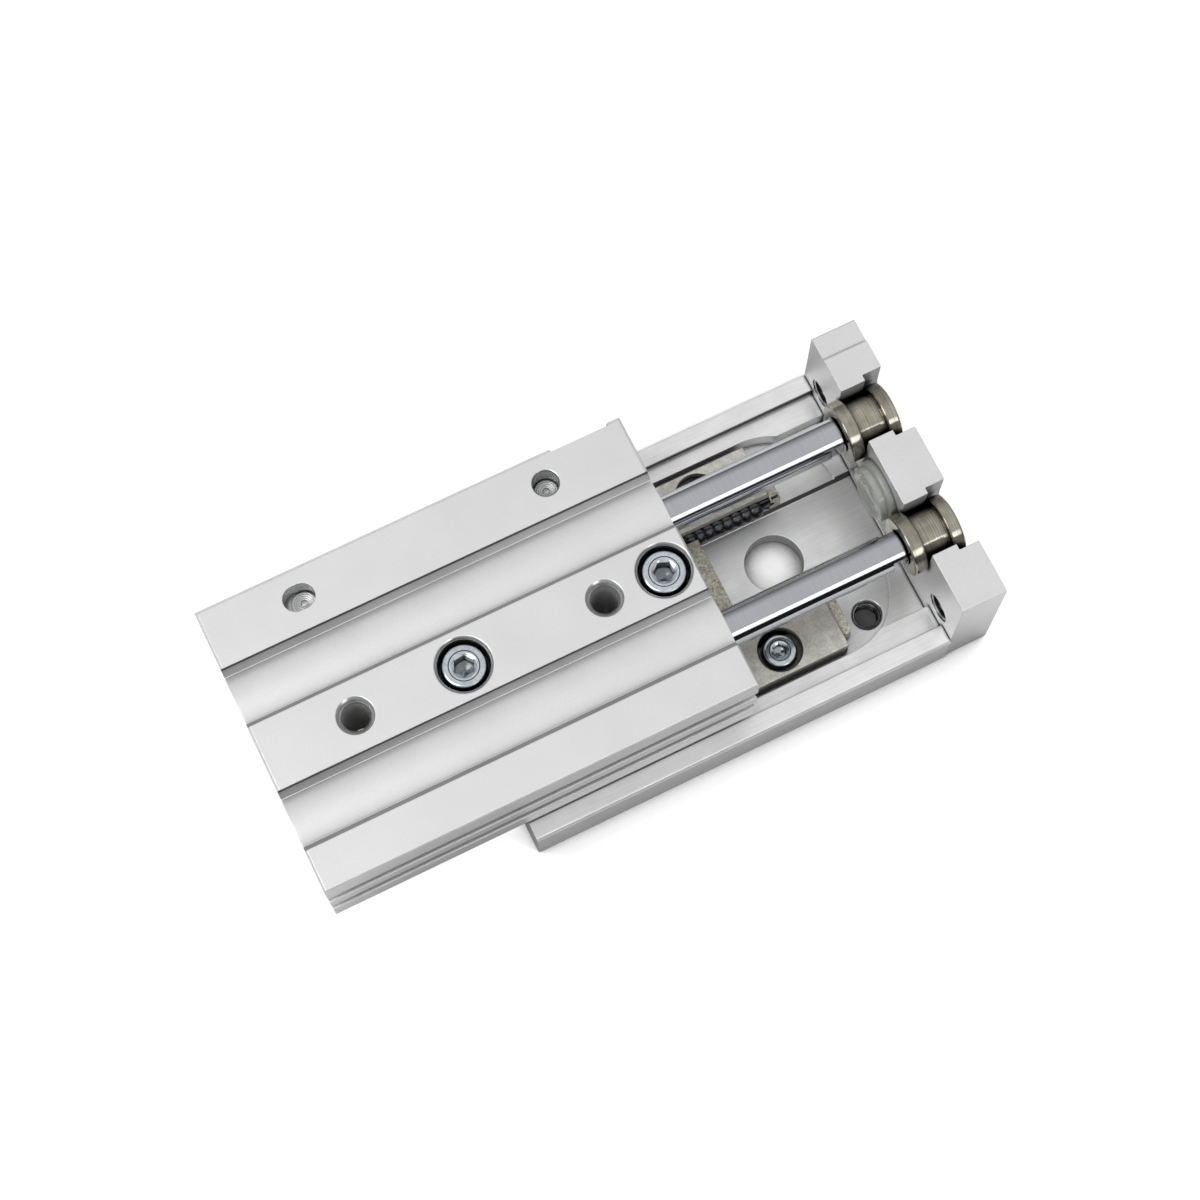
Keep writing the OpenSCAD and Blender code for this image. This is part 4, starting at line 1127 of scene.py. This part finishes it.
@dataclass(frozen=True)
class CylinderBody:
    """The grooved body with its rail, screws, caps, glands and seals."""

    repeats: Repeats
    mounts: Mounts
    edge_mm: float = 0.11
    rail_edge_mm: float = 0.12
    end_edge_mm: float = 0.1
    bolt_mouth_mm: float = 3.1
    screw_mouth_mm: float = 4.4
    pin_mouth_mm: float = 2.9
    hole_depth_mm: float = 6.0
    groove_depth_mm: float = 4.0
    groove_reach_mm: float = 21.0
    wall_edge_mm: float = 0.12
    slope_edge_mm: float = 0.3
    port_pitch_mm: float = 0.8
    port_thread_mm: float = 4.6

    def build(self) -> None:
        """Makes the visible shells, the screws and the threads, and dresses what lies in the bores."""
        self.cut_faces(softened("cylinder_body", "grooved_body", Body.CYLINDER, ANODISED, self.edge_mm))
        softened("guide_rail", "ground_rail", Body.CYLINDER, RAIL_STEEL, self.rail_edge_mm)
        self.repeats.screws("rail_cap_screws", "rail_screws", Body.CYLINDER, M4_SCREW, Axis.UPRIGHT, 0.9, 4)
        self.port_threads()
        self.pin_floors()
        for name, finish in CYLINDER_ENDS.items():
            for side in Side:
                turned = f"{name}_turned_{side.value}"
                softened(f"{name}_{side.value}", turned, Body.CYLINDER, finish, self.end_edge_mm)
        for name, finish in CYLINDER_INNER.items():
            for side in Side:
                dress(f"{name}_{side.value}", finish)

    def cut_faces(self, shell: Piece) -> None:
        """Gives the holes' walls and mouths the cutter's finish, and the grooves' walls darker finishes that paint the
        shade on them.

        Args:
            shell: The body's shell.
        """
        middle = self.mounts.place("body_holes")
        half = Vector((self.mounts.dims("body_holes")["spacing_x_mm"] / 2 * MM, 0.0, 0.0))
        axes = [(middle + half * side, self.bolt_mouth_mm) for side in (-1, 1)]
        axes += [((low + high) / 2, self.screw_mouth_mm) for low, high in solid_boxes("rail_screws")]
        axes += [(self.mounts.place(name), self.pin_mouth_mm) for name in ("body_pin_hole", "body_pin_slot")]
        top = max(vertex.co.z for vertex in shell.data.vertices)

        def in_hole(face: Face) -> bool:
            """Whether the face belongs to a hole's wall, floor or mouth."""
            near = any((face.center - axis).xy.length < reach * MM for axis, reach in axes)
            return near and face.normal.z < SQUARE and face.center.z > top - self.hole_depth_mm * MM

        def in_groove(face: Face, edge_mm: float) -> bool:
            """Whether the face lies in a groove, at least an edge's height below the lands."""
            deep = top - self.groove_depth_mm * MM < face.center.z < top - edge_mm * MM
            return deep and abs(face.center.y) < self.groove_reach_mm * MM and not in_hole(face)

        def is_steep(face: Face) -> bool:
            """Whether the face is a groove's steep wall."""
            return abs(face.normal.y) > STEEP and in_groove(face, self.wall_edge_mm)

        def is_slope(face: Face) -> bool:
            """Whether the face is a groove's slanted wall."""
            return SLANTED < abs(face.normal.y) <= STEEP and in_groove(face, self.slope_edge_mm)

        dress_faces(shell, CUT, in_hole)
        dress_faces(shell, SHADED_STEP_WALL, is_steep)
        dress_faces(shell, SHADED_GROOVE_SLOPE, is_slope)

    def port_threads(self) -> None:
        """Cuts the thread of the two air ports."""
        names = ("front_port", "rear_port")
        turn = (math.radians(90), 0.0, 0.0)
        thread = Thread(self.mounts.radius_mm(names[0]), self.port_pitch_mm, self.port_thread_mm, turn)
        places = [self.mounts.place(name) for name in names]
        self.repeats.tap("port_threads", Body.CYLINDER, ANODISED, places, thread)

    def pin_floors(self) -> None:
        """Leaves a cutter's rings and centre mark on the floors of the pin hole and the pin slot."""
        hole, slot = (self.mounts.place(name) for name in ("body_pin_hole", "body_pin_slot"))
        floor = hole.z - self.mounts.dims("body_pin_hole")["length_mm"] / 2 * MM
        radius = self.mounts.radius_mm("body_pin_hole") - 0.02
        profile = [(0.14, 0.0), (0.05, 0.14), (0.03, 0.42), (0.12, 0.5)]
        reach, pitch = 0.5, 0.3
        while reach + pitch < radius:
            profile += [(0.05, reach + 0.16), (0.1, reach + pitch)]
            reach += pitch
        profile += [(0.04, radius), (0.0, radius), (0.0, 0.0)]
        for name, x, y in (("pin_hole_floor", hole.x, hole.y), ("pin_slot_floor", slot.x + 0.45 * MM, slot.y)):
            piece = lathe(name, profile, Axis.UPRIGHT, Vector((x, y, floor)), 60)
            finish_piece(piece, Body.CYLINDER, ANODISED)


@dataclass(frozen=True)
class MovingTable:
    """The table, its end plate, guide blocks, rods, pistons and bushes."""

    repeats: Repeats
    mounts: Mounts
    edge_mm: float = 0.12
    block_edge_mm: float = 0.1
    fine_edge_mm: float = 0.08
    bush_edge_mm: float = 0.14
    hole_mouth_mm: float = 2.6
    ridge_across: Span = (21.0, 23.0)
    ridge_height: Span = (7.5, 8.9)
    channel_across: Span = (7.6, 8.5)
    channel_height: Span = (3.5, 4.2)
    thread_start_mm: float = 0.45
    thread_pitch_mm: float = 0.7
    work_thread_mm: float = 3.3
    end_thread_mm: float = 6.6

    def build(self) -> None:
        """Makes the visible shells, screws, threads and balls, and dresses the rest."""
        plate = softened("table_plate", "slide_plate", Body.TABLE, MILLED, self.edge_mm)
        upright = softened("end_plate", "end_upright", Body.TABLE, ANODISED, self.edge_mm)
        self.cut_faces(plate, upright)
        for side in Side:
            self.side_pieces(side)
            for name, finish in TABLE_INNER.items():
                dress(f"{name}_{side.value}", finish)
        screws = self.repeats.screws
        screws("block_cap_screws", "guide_block_screws", Body.TABLE, M3_LOW_SCREW, Axis.UPRIGHT, 1.0, 2)
        screws("end_cap_screws", "end_plate_screws", Body.TABLE, M4_SCREW, Axis.ALONG_X, 1.0, 7)
        self.hole_threads()
        self.bumper()
        dress("end_plate_dowels", SHADED_BALL_STEEL)

    def cut_faces(self, plate: Piece, upright: Piece) -> None:
        """Gives the tapped holes and the low step walls their own finishes, which paint the shade on them.

        Args:
            plate: The table's shell.
            upright: The end plate's shell.
        """
        work, ends = self.work_places(0.0), self.end_places(0.0)
        mouth = self.hole_mouth_mm * MM

        def is_step(face: Face) -> bool:
            """Whether the face is a low wall beside a ledge or a slope beside the channel."""
            ridge = abs(face.normal.y) > STEEP and self.is_within(face, self.ridge_across, self.ridge_height)
            return ridge or face.normal.y < -SLANTED and self.is_within(face, self.channel_across, self.channel_height)

        def is_tapped(face: Face) -> bool:
            """Whether the face is the wall of a workpiece hole."""
            return abs(face.normal.z) < SQUARE and any((face.center - place).xy.length < mouth for place in work)

        def is_end_tapped(face: Face) -> bool:
            """Whether the face is the wall of an end plate's tapped hole."""
            return abs(face.normal.x) < SQUARE and any((face.center - place).yz.length < mouth for place in ends)

        dress_faces(plate, SHADED_STEP_WALL, is_step)
        dress_faces(plate, TAPPED, is_tapped)
        dress_faces(upright, TAPPED, is_end_tapped)

    @staticmethod
    def is_within(face: Face, across: Span, height: Span) -> bool:
        """Whether the face's middle lies in a span of distances from the middle plane and a span of heights."""
        y, z = abs(face.center.y) / MM, face.center.z / MM
        return across[0] < y < across[1] and height[0] < z < height[1]

    def work_places(self, start_mm: float) -> list[Vector]:
        """Finds the axes of the four workpiece holes.

        Args:
            start_mm: The height above the table's outer face.

        Returns:
            A point on each axis.
        """
        x, y = (self.mounts.dims("table_holes")[f"spacing_{axis}_mm"] / 2 for axis in "xy")
        corners = [(-x, -y, start_mm), (-x, y, start_mm), (x, -y, start_mm), (x, y, start_mm)]
        return [self.mounts.place("table_holes") + Vector(corner) * MM for corner in corners]

    def end_places(self, start_mm: float) -> list[Vector]:
        """The axes of the end plate's two tapped holes, at a depth under its outer face."""
        middle, y = self.mounts.place("end_plate_holes"), self.mounts.dims("end_plate_holes")["spacing_x_mm"] / 2
        return [middle + Vector((-start_mm, across * y, 0.0)) * MM for across in (-1, 1)]

    def side_pieces(self, side: Side) -> None:
        """Makes one side's guide block, return plates, balls, piston rod and floating bush.

        Args:
            side: The side of the table.
        """

        def shell(node: str, name: str, finish: Finish, edge_mm: float, segments: int = 2) -> None:
            """Softens the piece of this side."""
            softened(f"{node}_{side.value}", f"{name}_{side.value}", Body.TABLE, finish, edge_mm, segments)

        shell("guide_block", "race_block", BLOCK_STEEL, self.block_edge_mm)
        shell("return_plates", "turn_plates", CREAM_RESIN, self.fine_edge_mm)
        node = f"guide_balls_{side.value}"
        boxes = solid_boxes(node)
        low, high = boxes[0]
        made = bmesh.new()
        bmesh.ops.create_icosphere(made, subdivisions=2, radius=(high.x - low.x) / 2)
        ball = mesh_from("ball", made)
        smooth_by_angle(ball, BALL_SHARP_DEGREES)
        centres = [(low + high) / 2 for low, high in boxes]
        self.repeats.copy(f"ball_row_{side.value}", node, Body.TABLE, SHADED_BALL_STEEL, ball, centres)
        shell("piston_rod", "chromed_rod", CHROME, self.fine_edge_mm)
        shell("floating_bush", "flanged_bush", BUSH_STEEL, self.bush_edge_mm, 3)

    def hole_threads(self) -> None:
        """Cuts the threads of the workpiece holes and of the end plate's holes."""
        thread = Thread(self.mounts.radius_mm("table_holes"), self.thread_pitch_mm, self.work_thread_mm)
        places = self.work_places(self.thread_start_mm)
        self.repeats.tap("workpiece_threads", Body.TABLE, TAPPED, places, thread)
        turn = (0.0, math.radians(-90), 0.0)
        thread = Thread(self.mounts.radius_mm("end_plate_holes"), self.thread_pitch_mm, self.end_thread_mm, turn)
        places = self.end_places(self.thread_start_mm)
        self.repeats.tap("end_plate_threads", Body.TABLE, TAPPED, places, thread)

    def bumper(self) -> None:
        """Turns the moulded bumper: a dished face with fine rings, a rim and a stem."""
        low, high = (Vector(corner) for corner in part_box("end_bumper"))
        back, tip = ((x - low.x) / MM for x in (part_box("end_plate")[0][0], high.x))
        rim = (high.z - low.z) / 2 / MM
        face, stem = rim - 0.6, 2.0
        profile = [(0.5, 0.0), (0.5, 1.3)]
        for ring in (1.7, 2.3, 2.9):
            profile += [(0.36, ring), (0.3, ring + 0.15), (0.36, ring + 0.3)]
        profile += [(0.05, face - 0.75), (0.0, face - 0.55), (0.03, face - 0.2), (0.2, face), (1.2, face)]
        profile += [(1.5, rim - 0.1), (1.7, rim), (back, rim), (back, stem)]
        profile += [(tip - 0.2, stem), (tip, stem - 0.2), (tip, 0.0)]
        middle = (low + high) / 2
        piece = lathe("dished_bumper", profile, Axis.ALONG_X, Vector((low.x, middle.y, middle.z)))
        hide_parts("end_bumper")
        finish_piece(piece, Body.TABLE, URETHANE)


def main() -> None:
    """Builds the studio and every sub-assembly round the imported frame."""
    logging.basicConfig(level=logging.INFO, format="%(name)s: %(message)s")
    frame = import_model()
    Studio().build()
    repeats = Repeats()
    mounts = Mounts(frame["record"])
    CylinderBody(repeats, mounts).build()
    MovingTable(repeats, mounts).build()


if __name__ == "__main__":
    main()
